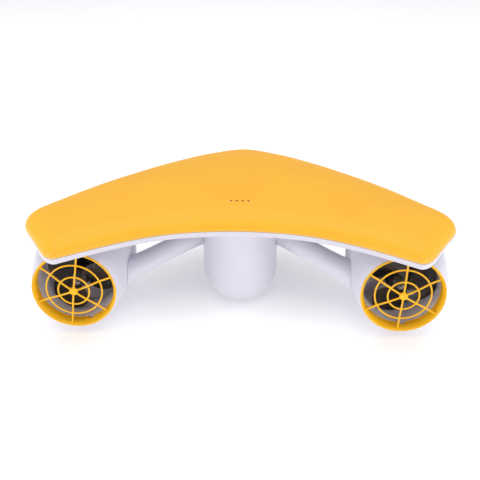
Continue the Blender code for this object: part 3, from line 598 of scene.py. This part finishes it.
def smoked_lens():
    made, place = new_material("smoked_lens")
    haze = place.noise(700.0).between(0.3, 0.8)
    tone = haze.blend((0.075, 0.040, 0.006), (0.150, 0.085, 0.018))
    return finish_material(made, place, Base_Color=tone, Roughness=haze * 0.08 + 0.12, IOR=1.49,
                           Coat_Weight=0.4, Coat_Roughness=0.08,
                           Normal=place.relief(place.noise(500.0), 0.00001))


def make_light_pipe():
    pipe = block("lamp_lens", (0.030, 0.006, 0.0024), (0, LAMP_PLACES[0][1], PIPE_TOP - 0.0012), 0.0005)
    top = crown(np.array(LAMP_PLACES))
    stubs = []
    for (x, y), z in zip(LAMP_PLACES, top):
        low = PIPE_TOP - 0.001
        rise = z - 0.0002 - low
        dome = [(0.0, 0.0), (0.0, 0.0014), (rise - 0.0004, 0.0014), (rise - 0.0001, 0.0011), (rise, 0.0)]
        stub = turned("stub", dome, 32)
        stub.data.transform(Matrix.Translation((x, y, low)) @ Matrix.Rotation(math.pi / 2, 4, 'X'))
        stubs.append(stub)
    combine(pipe, stubs, 'UNION')
    fit(pipe, smoked_lens(), "root", "light_pipe")


def circuit_board():
    """Green lacquer over copper tracks, with tinned pads in rows."""
    made, place = new_material("circuit_board")
    track = place.node("ShaderNodeTexWave", {"bands_direction": 'X'},
                       {"Vector": place, "Scale": 260.0, "Distortion": 2.0, "Detail": 1.0}, "Fac")
    track = track.between(0.6, 0.7)
    pad = place.node("ShaderNodeTexVoronoi", {}, {"Vector": place, "Scale": 330.0, "Randomness": 0.2})
    tinned = 1 - pad.between(0.14, 0.20)
    tone = track.blend(BOARD_GREEN, tuple(c * 1.9 for c in BOARD_GREEN))
    tone = tinned.blend(tone, (0.62, 0.60, 0.56))
    return finish_material(made, place, Base_Color=tone, Metallic=tinned, Roughness=0.35,
                           Normal=place.relief(track, 0.00003))


make_light_pipe()
dress(circuit_board(), "indicator_board")

# ---- Motor controller ----------------------------------------------------------------------------
# A potted speed controller on the tray's floor. Its case is an aluminium extrusion with cooling
# fins, black anodised, so the draw marks run along it.
def anodised(name, colour, direction):
    made, place = new_material(name)
    draw = place.stretched(direction).noise(1.0, 3.0)
    rubbed = place.node("ShaderNodeNewGeometry", output="Pointiness").between(0.54, 0.66) * 0.5
    tone = rubbed.blend(draw.blend(colour, tuple(c * 1.8 for c in colour)), (0.42, 0.42, 0.44))
    return finish_material(made, place, Base_Color=tone, Metallic=1.0, Roughness=draw * 0.18 + 0.30,
                           Normal=place.relief(draw, 0.00002))


dress(anodised("anodised_extrusion", (0.026, 0.026, 0.030), (900.0, 14.0, 900.0)), "motor_controller")

# ---- Camera insert -------------------------------------------------------------------------------
# A knurled brass bush with the standard camera thread, pressed into the pad under the nose.
dress(metal("turned_brass", (0.74, 0.52, 0.20), 0.26), "camera_insert")

# ---- Pod -----------------------------------------------------------------------------------------
# The keel-like housing under the deck that holds the battery: a white moulding, round behind and
# below, with a small fillet where it meets the deck and a finger crease low on its round end.
POD_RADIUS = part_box("pod_housing")[1].x
POD_CENTRE_Z = POD_RADIUS - 0.0004
POD_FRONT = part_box("pod_housing")[1].y
POD_CENTRE_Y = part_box("pod_housing")[0].y + POD_RADIUS
POD_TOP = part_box("pod_housing")[1].z
POD_WALL = 0.004
POD_FILLET = 0.0045
BAY_TOP = 0.0905
KNOB_X = 0.0375
KNOB_Z = 0.100
CREASE_Z = 0.0605
CREASE_HALF = 0.0215
CREASE_ROWS = [CREASE_Z - below for below in (-0.0006, 0.0, 0.0009, 0.0018, 0.0032, 0.0050, 0.0075, 0.0105)]


def pod_side(top, fillet, steps=12):
    """Heights from the pod's round underside up to the deck, with how far each flares out."""
    heights = {*np.linspace(POD_CENTRE_Z, top - fillet, steps)[1:], *(CREASE_ROWS if fillet else ())}
    rise = [(z, 0.0) for z in sorted(heights)]
    if fillet:
        rise += [(top - fillet + fillet * math.sin(a), fillet * (1 - math.cos(a)))
                 for a in np.linspace(0.0, math.pi / 2, 7)[1:]]
    return rise


def pod_shell(name, grow, top, front, fillet=0.0, turns=40, rounds=28, y_steps=18):
    """The pod's outer form: a round keel, an upright round rear end and straight sides, drawn forward."""
    radius = POD_RADIUS + grow
    stations = np.linspace(0.0, math.pi / 2, turns // 2 + 1)
    bm = bmesh.new()
    rows = []
    # each row runs from the middle of the rear end round one side and forward; angle 0 is straight back
    for tilt in np.linspace(0.0, math.pi / 2, rounds):
        rows.append((POD_CENTRE_Z - radius * math.cos(tilt), radius * math.sin(tilt), 0.0))
    rows += [(z, radius, flare) for z, flare in pod_side(top, fillet)]
    grid = []
    for z, reach, flare in rows:
        right = []
        for a in stations:
            out = reach + flare * (0.1 + 0.9 * math.sin(a) ** 2)
            right.append((out * math.sin(a), POD_CENTRE_Y - out * math.cos(a), z))
        right += [(reach + flare, y, z) for y in np.linspace(POD_CENTRE_Y, front, y_steps)[1:]]
        left = [(-x, y, z) for x, y, z in reversed(right[1:])]
        grid.append([bm.verts.new(p) for p in left + right])
    for low, high in zip(grid, grid[1:]):
        for i in range(len(low) - 1):
            bm.faces.new((low[i], low[i + 1], high[i + 1], high[i]))
    bm.faces.new([row[0] for row in reversed(grid)] + [row[-1] for row in grid])
    bm.faces.new(grid[-1])
    bmesh.ops.remove_doubles(bm, verts=bm.verts, dist=1e-6)
    bmesh.ops.dissolve_degenerate(bm, edges=bm.edges, dist=1e-7)
    return add_object(name, bm)


def press_crease(pod):
    """Presses a shallow crease into the round rear end, with a narrow ledge along its upper side."""
    for vertex in pod.data.vertices:
        x, y, z = vertex.co
        below = CREASE_Z - z
        if y < POD_CENTRE_Y and abs(x) < CREASE_HALF and below > 0.0004:
            depth = 0.0015 * (1.0 - (x / CREASE_HALF) ** 4) * math.exp(-below / 0.0050)
            vertex.co = vertex.co + Vector((-x, POD_CENTRE_Y - y, 0)).normalized() * depth


def keel_cut(height):
    """Takes off what hangs below a height, so that the keel has a flat to stand on."""
    return cut_box("keel_cut", (-0.1, -0.2, -0.02), (0.1, 0.2, height))


def make_pod():
    pod = pod_shell("pod_shell", 0.0, POD_TOP, POD_FRONT, POD_FILLET)
    press_crease(pod)
    cuts = [pod_shell("bay", -POD_WALL, BAY_TOP, POD_FRONT + 0.01, 0.0, 24, 14, 4),
            cut_box("cable_space", (-0.035, -0.026, BAY_TOP + POD_WALL), (0.035, 0.062, POD_TOP + 0.02)),
            keel_cut(0.0)]
    for side, _ in SIDES:
        start = (side * KNOB_X, POD_FRONT - 0.016, KNOB_Z)
        cuts.append(rod("knob_hole", 0.0028, start, (side * KNOB_X, POD_FRONT + 0.02, KNOB_Z)))
    combine(pod, cuts, 'DIFFERENCE', 28.0)
    fit(pod, white_plastic, "root", "pod_housing")


make_pod()

# ---- Battery unit --------------------------------------------------------------------------------
# The battery cartridge slides out of the pod to the front. A dark pack with grip ribs is fixed to a
# white end cover with a round nose; a rubber seal sits between the cover's flange and the pod.
COVER_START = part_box("battery_cover")[0].y
COVER_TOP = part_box("battery_cover")[1].z
COVER_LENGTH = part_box("battery_cover")[1].y - COVER_START
PACK_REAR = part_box("battery_pack")[0].y
PACK_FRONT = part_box("battery_pack")[1].y
PACK_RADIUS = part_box("battery_pack")[1].x
PACK_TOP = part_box("battery_pack")[1].z


def u_section(radius, top, round_top, steps=36):
    """Upright U of (x, z) points with rounded top corners, from top right round to top left."""
    corner = [(radius - round_top * (1 - math.cos(a)), top - round_top * (1 - math.sin(a)))
              for a in np.linspace(math.pi / 2, 0.0, 7)]
    under = [(radius * math.cos(a), POD_CENTRE_Z - radius * math.sin(a))
             for a in np.linspace(0, math.pi, steps)]
    return [*corner, *under, *[(-x, z) for x, z in reversed(corner)]]


def drawn(name, sections):
    """A closed solid through sections of (y, [(x, z), ...])."""
    bm = bmesh.new()
    loops = [[bm.verts.new((x, y, z)) for x, z in points] for y, points in sections]
    bm.faces.new(loops[0])
    for first, second in zip(loops, loops[1:]):
        bridge(bm, first, second)
    bm.faces.new(loops[-1])
    return add_object(name, bm)


def make_battery_cover():
    sections = []
    for share in np.sin(np.linspace(0.0, math.pi / 2, 15)[:-1]):
        wide = math.sqrt(1.0 - share ** 2)
        y = COVER_START + 0.006 + (COVER_LENGTH - 0.006) * share
        points = u_section(POD_RADIUS, COVER_TOP, 0.004)
        sections.append((y, [(x * wide, POD_CENTRE_Z + (z - POD_CENTRE_Z) * wide) for x, z in points]))
    flange = u_section(POD_RADIUS, COVER_TOP, 0.004)
    slim = [(x * 0.986, POD_CENTRE_Z + (z - POD_CENTRE_Z) * 0.986) for x, z in flange]
    lip = [(COVER_START, slim), (COVER_START + 0.0006, flange), (COVER_START + 0.0044, flange),
           (COVER_START + 0.0050, slim), (COVER_START + 0.0056, slim)]
    cover = drawn("battery_end_cover", lip + sections)
    cuts = [keel_cut(0.0)]
    for side, _ in SIDES:
        x = side * KNOB_X
        cuts.append(rod("hole", 0.0028, (x, COVER_START - 0.01, KNOB_Z), (x, COVER_START + 0.03, KNOB_Z)))
        cuts.append(rod("seat", 0.0085, (x, COVER_START + 0.004, KNOB_Z),
                        (x, COVER_START + 0.05, KNOB_Z), 48))
    combine(cover, cuts, 'DIFFERENCE', 30.0)
    fit(cover, white_plastic, "battery_unit", "battery_cover")


def make_battery_pack():
    sections = []
    ribs = 9
    pitch = (PACK_FRONT - PACK_REAR - 0.012) / ribs
    body = u_section(PACK_RADIUS, PACK_TOP, 0.003)
    waist = u_section(PACK_RADIUS - 0.0007, PACK_TOP - 0.0007, 0.003)
    end = u_section(PACK_RADIUS - 0.0018, PACK_TOP - 0.0018, 0.003)
    sections += [(PACK_REAR, end), (PACK_REAR + 0.0012, waist), (PACK_REAR + 0.0018, body)]
    for i in range(ribs):
        y = PACK_REAR + 0.006 + i * pitch
        sections += [(y, body), (y + 0.0004, waist), (y + 0.0022, waist), (y + 0.0026, body)]
    sections += [(PACK_FRONT - 0.0010, body), (PACK_FRONT, waist)]
    pack = drawn("battery_cartridge", sections)
    combine(pack, [keel_cut(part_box("battery_pack")[0].z)], 'DIFFERENCE', 30.0)
    fit(pack, grey_plastic, "battery_unit", "battery_pack")


grey_plastic = moulded_plastic("dark_grey_moulded_plastic", (0.048, 0.048, 0.053), 0.50, 0.00006, wear=0.12)
make_battery_cover()
make_battery_pack()
dress(black_rubber, "battery_seal")
dress(moulded_plastic("black_moulded_plastic", (0.014, 0.014, 0.015), 0.42, wear=0.08), "contact_block",
      *both("trigger_sensor"))

# ---- Cover knobs ---------------------------------------------------------------------------------
# Two quarter-turn knobs clamp the end cover to the pod. Each is a fluted dark grey moulding with a
# raised wing for the fingers, on a plain stem.
def make_cover_knobs():
    profile = [(-0.014, 0.0), (-0.014, 0.0021), (-0.0136, 0.0025), (0.0043, 0.0025), (0.0043, 0.0076),
               (0.0048, 0.0080), (0.0080, 0.0080), (0.0090, 0.0076), (0.0095, 0.0068), (0.0095, 0.0)]
    for side, word in SIDES:
        knob = turned(f"quarter_turn_knob_{word}", profile, 72)
        flutes = []
        for i in range(12):
            angle = math.tau * i / 12
            x, z = 0.0089 * math.cos(angle), 0.0089 * math.sin(angle)
            flutes.append(rod("flute", 0.0013, (x, 0.0046, z), (x, 0.02, z), 20))
        combine(knob, flutes, 'DIFFERENCE', 30.0)
        wing = block("wing", (0.0036, 0.0068, 0.0128), (0, 0.0120, 0), 0.0012, 4)
        combine(knob, [wing], 'UNION', 30.0)
        knob.location = (side * KNOB_X, COVER_START, KNOB_Z)
        fit(knob, grey_plastic, f"knob_{word}", f"cover_knob_{word}")


make_cover_knobs()

# ---- Grips ---------------------------------------------------------------------------------------
# White bars between the pod and the nacelles, held from behind. Each widens into both neighbours and
# has a pocket on its front for the trigger, with a hole across it for the trigger's pin.
GRIP_RADIUS = 0.0133
GRIP_OUTER = Vector((0.137, -0.0713, 0.063))
GRIP_INNER = Vector((0.049, -0.0250, 0.0919))
TRIGGER_ALONG = 0.040           # trigger pin, from the pod along the grip
TRIGGER_FORWARD = 0.0102        # trigger pin, forward of the grip's axis
DUCT_X = 0.200
DUCT_Z = 0.063
DUCT_REAR = -0.125
NACELLE_GUIDE = [(0.0003, 0.0514), (0.0040, 0.0527), (0.0090, 0.0545), (0.0200, 0.0572), (0.0350, 0.0600),
                 (0.0500, 0.0619), (0.0650, 0.0630), (0.0850, 0.0630), (0.1030, 0.0614), (0.1180, 0.0578),
                 (0.1270, 0.0540), (0.1300, 0.0512)]


def nacelle_outside(grow=0.0):
    """The nacelle's barrel line as (y, radius) points, from its rear lip to its front."""
    line = smooth_curve(NACELLE_GUIDE, (-0.0030, 0.0500), (0.1310, 0.0480), 66)
    return [(y, min(radius, DUCT_Z) + grow) for y, radius in line]


def grip_frame(side):
    """The grip's own frame: x along the bar from the pod outwards, y forward, z square to both."""
    mirror = Vector((side, 1, 1))
    inner, outer = GRIP_INNER * mirror, GRIP_OUTER * mirror
    along = (outer - inner).normalized()
    forward = (Vector((0, 1, 0)) - along * along.y).normalized()
    made = Matrix((along, forward, along.cross(forward))).transposed().to_4x4()
    made.translation = inner + along * TRIGGER_ALONG
    return made


def make_grip(side, word):
    length = (GRIP_OUTER - GRIP_INNER).length
    start, end = -TRIGGER_ALONG - 0.015, length - TRIGGER_ALONG + 0.030
    bm = bmesh.new()
    loops = []
    for x in np.linspace(start, end, 64):
        to_pod = (x + TRIGGER_ALONG) / 0.010
        to_nacelle = (length - TRIGGER_ALONG - x) / 0.014
        radius = (GRIP_RADIUS + 0.0028 * math.exp(-max(0.0, to_pod) * 1.3)
                  + 0.0030 * math.exp(-max(0.0, to_nacelle)))
        loops.append([bm.verts.new((x, radius * math.cos(a), radius * math.sin(a)))
                      for a in around(64)])
    loft(bm, loops, close_first=True)
    bar = add_object(f"grip_bar_{word}", bm)
    pocket = cut_box("pocket", (-0.004, 0.0045, -0.0065), (0.042, 0.0245, 0.0065))
    pin_hole = rod("pin_hole", 0.0014, (0, TRIGGER_FORWARD, -0.03), (0, TRIGGER_FORWARD, 0.03))
    combine(bar, [pocket, pin_hole], 'DIFFERENCE')
    bar.data.transform(grip_frame(side))
    pod_fit = pod_shell("pod_fit", 0.0003, POD_TOP + 0.02, POD_FRONT, 0.0, 40, 28, 4)
    solid = [*nacelle_outside(0.0003), (0.1300, 0.0), (0.0, 0.0)]
    nacelle_fit = turned("nacelle_fit", solid, 128)
    nacelle_fit.data.transform(Matrix.Translation((side * DUCT_X, DUCT_REAR, DUCT_Z)))
    combine(bar, [pod_fit, nacelle_fit], 'DIFFERENCE')
    fit(bar, white_plastic, "root", f"grip_{word}")


for side, word in SIDES:
    make_grip(side, word)

# ---- Triggers ------------------------------------------------------------------------------------
# A dark grey finger lever in each grip's pocket, on a steel pin. A coil spring round the pin pushes
# it out again, and a sealed magnetic sensor in the pocket's floor feels it come in.
def make_trigger(side, word):
    outline = [(-0.0030, -0.0018), (0.0, -0.0032), (0.0185, -0.0006), (0.0370, 0.0020), (0.0385, 0.0045),
               (0.0360, 0.0080), (0.0280, 0.0065), (0.0180, 0.0060), (0.0090, 0.0058), (0.0, 0.0034),
               (-0.0030, 0.0020)]
    bm = bmesh.new()
    face = bm.faces.new([bm.verts.new((x, y, -0.0058)) for x, y in outline])
    grown = bmesh.ops.extrude_face_region(bm, geom=[face])
    moved = [item for item in grown["geom"] if isinstance(item, bmesh.types.BMVert)]
    bmesh.ops.translate(bm, vec=(0, 0, 0.0116), verts=moved)
    bmesh.ops.recalc_face_normals(bm, faces=bm.faces)
    rims = [e for e in bm.edges if abs(e.verts[0].co.z - e.verts[1].co.z) < 1e-6]
    bmesh.ops.bevel(bm, geom=rims, offset=0.0011, segments=4, affect='EDGES', profile=0.5)
    lever = add_object(f"finger_lever_{word}", bm, 50.0)
    cuts = [rod("bore", 0.0014, (0, 0, -0.02), (0, 0, 0.02)),
            cut_box("spring_slot", (-0.0065, -0.0055, -0.0023), (0.0045, 0.0055, 0.0023))]
    for i in range(5):
        x = 0.0215 + 0.0030 * i
        y = 0.0071 + 0.0004 * i
        cuts.append(rod("rib_groove", 0.0006, (x, y, -0.0040), (x, y, 0.0040), 16))
    combine(lever, cuts, 'DIFFERENCE', 50.0)
    lever.data.transform(grip_frame(side) @ Matrix.Translation((0, TRIGGER_FORWARD, 0)))
    fit(lever, grey_plastic, f"finger_lever_{word}", f"trigger_{word}")


for side, word in SIDES:
    make_trigger(side, word)
dress(stainless, *both("trigger_pin", "trigger_spring"))

# ---- Nacelles ------------------------------------------------------------------------------------
# Barrel-shaped white housings fixed under the deck's tips, each with a straight duct through it. The
# rear mouth is stepped for the guard's sleeve, and the top is cut flat against the deck's floor.
DUCT_RADIUS = 0.0475
MOUTH_RADIUS = 0.0500
SEAT_END = 0.0124


def at_thruster(piece, side):
    piece.location = (side * DUCT_X, DUCT_REAR, DUCT_Z)
    return piece


def make_nacelle(side, word):
    mouth = [(0.1285, 0.0495), (0.1270, 0.0482), (0.1240, DUCT_RADIUS), (SEAT_END + 0.0005, DUCT_RADIUS),
             (SEAT_END, DUCT_RADIUS + 0.0005), (SEAT_END, MOUTH_RADIUS), (0.0008, MOUTH_RADIUS),
             (0.0003, MOUTH_RADIUS + 0.0005)]
    nacelle = turned(f"nacelle_barrel_{word}", nacelle_outside() + mouth, 144)
    deck_cut = cut_box("deck_cut", (-0.1, -0.1, DECK_FLOOR - 0.0003 - DUCT_Z), (0.1, 0.25, 0.1))
    cable_y = CABLE_PLACES[0][1] - DUCT_REAR
    cable_cut = rod("cable_cut", 0.0026, (0, cable_y, 0.040), (0, cable_y, 0.07))
    combine(nacelle, [deck_cut, cable_cut], 'DIFFERENCE', 30.0)
    fit(at_thruster(nacelle, side), white_plastic, "root", f"nacelle_{word}")


for side, word in SIDES:
    make_nacelle(side, word)

# ---- Guards --------------------------------------------------------------------------------------
# Yellow finger guards at both ends of each duct: a thick rounded rim with a plug-in sleeve, six slim
# spokes, two round hoops and a domed hub, moulded in one piece and slightly dished.
GUARD_TURN = {"left": math.radians(8.4), "right": math.radians(3.0)}
NOTCH_TURN = {"left": math.radians(19.0), "right": math.radians(5.0)}
GUARD_YELLOW = (0.975, 0.520, 0.012)
SPOKES = 6
yellow_guard = moulded_plastic("yellow_guard_plastic", GUARD_YELLOW, 0.40, 0.00002, coat=0.05, gloss=0.3)


def make_guard(name, rings, dish, hub, depth, face):
    """face is 1 for a guard that looks forward and -1 for one that looks back."""
    sleeve = rings[-1] + 0.0130

    def dish_y(radius):
        return face * dish * (1.0 - (radius / rings[-1]) ** 2) if radius < rings[-1] else 0.0

    funnel = smooth_curve([(-0.0050, 0.0), (-0.0020, 0.0007), (0.0008, 0.0017), (0.0026, 0.0029),
                           (0.0033, 0.0038), (0.0031, 0.0043), (0.0024, 0.0045)],
                          (-0.0080, 0.0), (0.0010, 0.0045), 24)
    tube = [(0.0004, 0.0045), (0.0, 0.0041), (0.0, 0.0025), (0.0004 - depth, 0.0025), (-depth, 0.0021),
            (-depth, 0.0004), (0.0004 - depth, 0.0)]
    guard = turned(name, [(face * y, sleeve + grow) for y, grow in funnel + tube], 128)
    parts = []
    for radius in rings:
        y = dish_y(radius)
        section = [(y + 0.00105 * math.sin(a), radius + 0.00105 * math.cos(a))
                   for a in around(12)]
        parts.append(turned("hoop", section, 96))
    for i in range(SPOKES):
        bm = bmesh.new()
        loops = []
        for radius in np.linspace(0.0030, sleeve + 0.0021, 14):
            y = dish_y(radius)
            loops.append([bm.verts.new((0.00118 * math.cos(a), y + 0.00130 * math.sin(a), radius))
                          for a in around(12)])
        loft(bm, loops)
        turn = Matrix.Rotation(math.tau * (i + 0.0007) / SPOKES, 3, 'Y')
        bmesh.ops.rotate(bm, cent=(0, 0, 0), matrix=turn, verts=bm.verts)
        parts.append(add_object("spoke", bm))
    middle = face * dish
    cap = [(middle - face * 0.0016, 0.0), (middle - face * 0.0016, hub - 0.0004),
           (middle - face * 0.0012, hub)]
    cap += [(middle + face * (0.0004 + 0.0014 * math.sin(a)), hub - 0.0014 * (1 - math.cos(a)))
            for a in np.linspace(0.0, math.pi / 2, 5)]
    cap.append((middle + face * 0.0019, 0.0))
    parts.append(turned("hub", cap, 48))
    return combine(guard, parts, 'UNION', 38.0)


for side, word in SIDES:
    rear = make_guard(f"rear_grille_{word}", (0.0190, 0.0342), 0.0038, 0.0052, SEAT_END - 0.0003, -1)
    notch = cut_box("notch", (-0.0040, SEAT_END - 0.0060, -0.0520), (0.0040, SEAT_END + 0.0020, -0.0450))
    notch.data.transform(Matrix.Rotation(-NOTCH_TURN[word] - GUARD_TURN[word], 4, 'Y'))
    combine(rear, [notch], 'DIFFERENCE', 38.0)
    rear.data.transform(Matrix.Rotation(GUARD_TURN[word], 4, 'Y'))
    front = make_guard(f"front_grille_{word}", (0.0160, 0.0296), 0.0060, 0.0060, 0.0120, 1)
    front.data.transform(Matrix.Translation((0, 0.1235, 0)))
    fit(at_thruster(rear, side), yellow_guard, f"guard_{word}", f"rear_guard_{word}")
    fit(at_thruster(front, side), yellow_guard, "root", f"front_guard_{word}")

# ---- Motor carriers and motors -------------------------------------------------------------------
# Each motor hangs in its duct on five swept vanes between a ring and a tube, moulded in white. The
# motor itself is a black anodised can with a pointed nose cone in the incoming water.
satin_black = anodised("anodised_can", (0.022, 0.022, 0.026), (60.0, 900.0, 60.0))
black_plastic = moulded_plastic("black_gloss_plastic", (0.011, 0.009, 0.007), 0.30, 0.00002, coat=0.15,
                                wear=0.03)
VANES = 5


def make_carrier(side, word):
    ring = [(0.0543, 0.0461), (0.0540, 0.0464), (0.0540, 0.0472), (0.0880, 0.0472), (0.0880, 0.0464),
            (0.0877, 0.0461)]
    tube = [(0.0500, 0.0184), (0.0500, 0.0200), (0.0504, 0.0204), (0.0916, 0.0204), (0.0920, 0.0200),
            (0.0920, 0.0184)]
    carrier = turned(f"vane_carrier_{word}", ring, 128)
    parts = [turned("tube", tube, 96)]
    for i in range(VANES):
        bm = bmesh.new()
        loops = []
        for radius in np.linspace(0.0194, 0.0468, 9):
            lean = 0.004 * (radius - 0.0194) / 0.0274
            loops.append([bm.verts.new((0.0013 * math.sin(a) * (1.1 + 0.9 * math.cos(a)) / 2,
                                        0.071 + lean - 0.0150 * math.cos(a), radius))
                          for a in around(24)])
        loft(bm, loops)
        turn = Matrix.Rotation(math.tau * i / VANES, 3, 'Y')
        bmesh.ops.rotate(bm, cent=(0, 0, 0), matrix=turn, verts=bm.verts)
        parts.append(add_object("vane", bm))
    combine(carrier, parts, 'UNION', 38.0)
    fit(at_thruster(carrier, side), white_plastic, "root", f"motor_carrier_{word}")


def make_motor_case(side, word):
    can = [(0.0452, 0.0083), (0.0452, 0.0105), (0.0462, 0.0128), (0.0475, 0.0147), (0.0492, 0.0164),
           (0.0510, 0.0176), (0.0520, 0.0180), (0.0952, 0.0180), (0.0955, 0.0177), (0.0955, 0.0167),
           (0.0560, 0.0167), (0.0560, 0.0083)]
    nose = [(0.0880, 0.0083), (0.0880, 0.0105), (0.0958, 0.0105), (0.0958, 0.0178), (0.0961, 0.0180)]
    nose += smooth_curve([(0.0985, 0.0179), (0.1030, 0.0168), (0.1085, 0.0138), (0.1130, 0.0098),
                          (0.1160, 0.0052), (0.1170, 0.0)], (0.0961, 0.0180), (0.1160, -0.0052), 30)
    nose += [(0.0980, 0.0), (0.0980, 0.0032), (0.0935, 0.0032), (0.0935, 0.0083)]
    can = at_thruster(turned(f"motor_can_{word}", can, 96), side)
    nose = at_thruster(turned(f"nose_fairing_{word}", nose, 96), side)
    fit(can, satin_black, "root", f"motor_housing_{word}")
    fit(nose, black_plastic, "root", f"nose_cone_{word}")


def winding():
    """Enamelled copper wire, wound in close turns."""
    made, place = new_material("copper_winding")
    turns = place.node("ShaderNodeTexWave", {"bands_direction": 'Y', "wave_profile": 'SIN'},
                       {"Vector": place, "Scale": 420.0, "Distortion": 1.5, "Detail": 1.0}, "Fac")
    tone = turns.blend((0.30, 0.10, 0.035), (0.66, 0.28, 0.11))
    return finish_material(made, place, Base_Color=tone, Metallic=0.9, Roughness=0.34,
                           Normal=place.relief(turns, 0.0002))


for side, word in SIDES:
    make_carrier(side, word)
    make_motor_case(side, word)
dress(winding(), *both("motor_stator"))
dress(stainless, *both("motor_rotor", "bearing_rear", "bearing_front"))

# ---- Propellers ----------------------------------------------------------------------------------
# Three broad blades and their hub, moulded in glass-filled black plastic, one left and one right
# handed. Each sits on the motor's steel shaft behind a stainless nut, just inside the rear guard.
BLADES = 3
BLADE_Y = 0.0320
FIRST_BLADE = {"left": 120, "right": 128}       # degrees from the X axis, at rest


def blade(side, angle):
    bm = bmesh.new()
    loops = []
    for share in np.linspace(0.0, 1.0, 22):
        radius = 0.0115 + 0.0340 * share
        chord = 0.018 + 0.042 * math.sin(math.pi * min(1.0, 0.12 + 0.62 * share)) * (1.0 - 0.45 * share ** 6)
        pitch = math.atan2(0.0115, radius)
        thick = 0.0036 - 0.0022 * share
        section = []
        for a in around(28):
            run = 0.5 * chord * math.cos(a)
            off = 0.5 * thick * math.sin(a) * (1.0 + 0.25 * math.cos(a))
            turn = angle + side * (run * math.cos(pitch) - off * math.sin(pitch)) / radius
            y = BLADE_Y + run * math.sin(pitch) + off * math.cos(pitch)
            section.append(bm.verts.new((radius * math.cos(turn), y, radius * math.sin(turn))))
        loops.append(section)
    loft(bm, loops)
    return add_object("blade", bm)


def make_propeller(side, word):
    hub = [(0.0230, 0.0028), (0.0230, 0.0070), (0.0238, 0.0085), (0.0250, 0.0100), (0.0268, 0.0113),
           (0.0290, 0.0123), (0.0315, 0.0128), (0.0435, 0.0130), (0.0440, 0.0125), (0.0440, 0.0028)]
    propeller = turned(f"three_blade_propeller_{word}", hub, 72)
    blades = [blade(side, math.radians(FIRST_BLADE[word] + 120 * i)) for i in range(BLADES)]
    combine(propeller, blades, 'UNION', 38.0)
    shaft = [(0.0150, 0.0), (0.0150, 0.0014), (0.0156, 0.0020), (0.0228, 0.0020), (0.0230, 0.0025),
             (0.0960, 0.0025), (0.0965, 0.0020), (0.0965, 0.0)]
    pieces = [(propeller, black_plastic, "propeller", "black_plastic"),
              (turned(f"drive_shaft_{word}", shaft, 48), shade_darkened_steel, "motor_shaft", "stainless_steel"),
              (make_nut(word), shade_darkened_steel, "propeller_nut", "stainless_steel")]
    for piece, finish, node, slot in pieces:
        fit(at_thruster(piece, side), finish, f"prop_{word}", f"{node}_{word}")


# Painted shade: the shaft and the nut get a dark steel colour that stands for the shade inside the duct, not
# a dulled finish.
shade_darkened_steel = metal("shade_darkened_stainless_steel", (0.26, 0.25, 0.24), 0.34)


def make_nut(word):
    """Hexagon nut with chamfered corners and a thin collar towards the hub."""
    bm = bmesh.new()
    loops = []
    for y, reach, corner in ((0.0175, 0.0023, 0.0), (0.0175, 0.0036, 0.0), (0.0179, 0.0040, 1.0),
                             (0.0216, 0.0040, 1.0), (0.0219, 0.0037, 0.0), (0.0227, 0.0044, 0.0),
                             (0.0227, 0.0023, 0.0)):
        loop = []
        for a in around(48):
            flat = math.cos(math.pi / 6) / math.cos((a % (math.pi / 3)) - math.pi / 6)
            radius = reach * (1 + corner * (flat - 1))
            loop.append(bm.verts.new((radius * math.cos(a), y, radius * math.sin(a))))
        loops.append(loop)
    for first, second in zip(loops, loops[1:] + loops[:1]):
        bridge(bm, first, second)
    return add_object(f"hexagon_nut_{word}", bm, 25.0)


for side, word in SIDES:
    make_propeller(side, word)
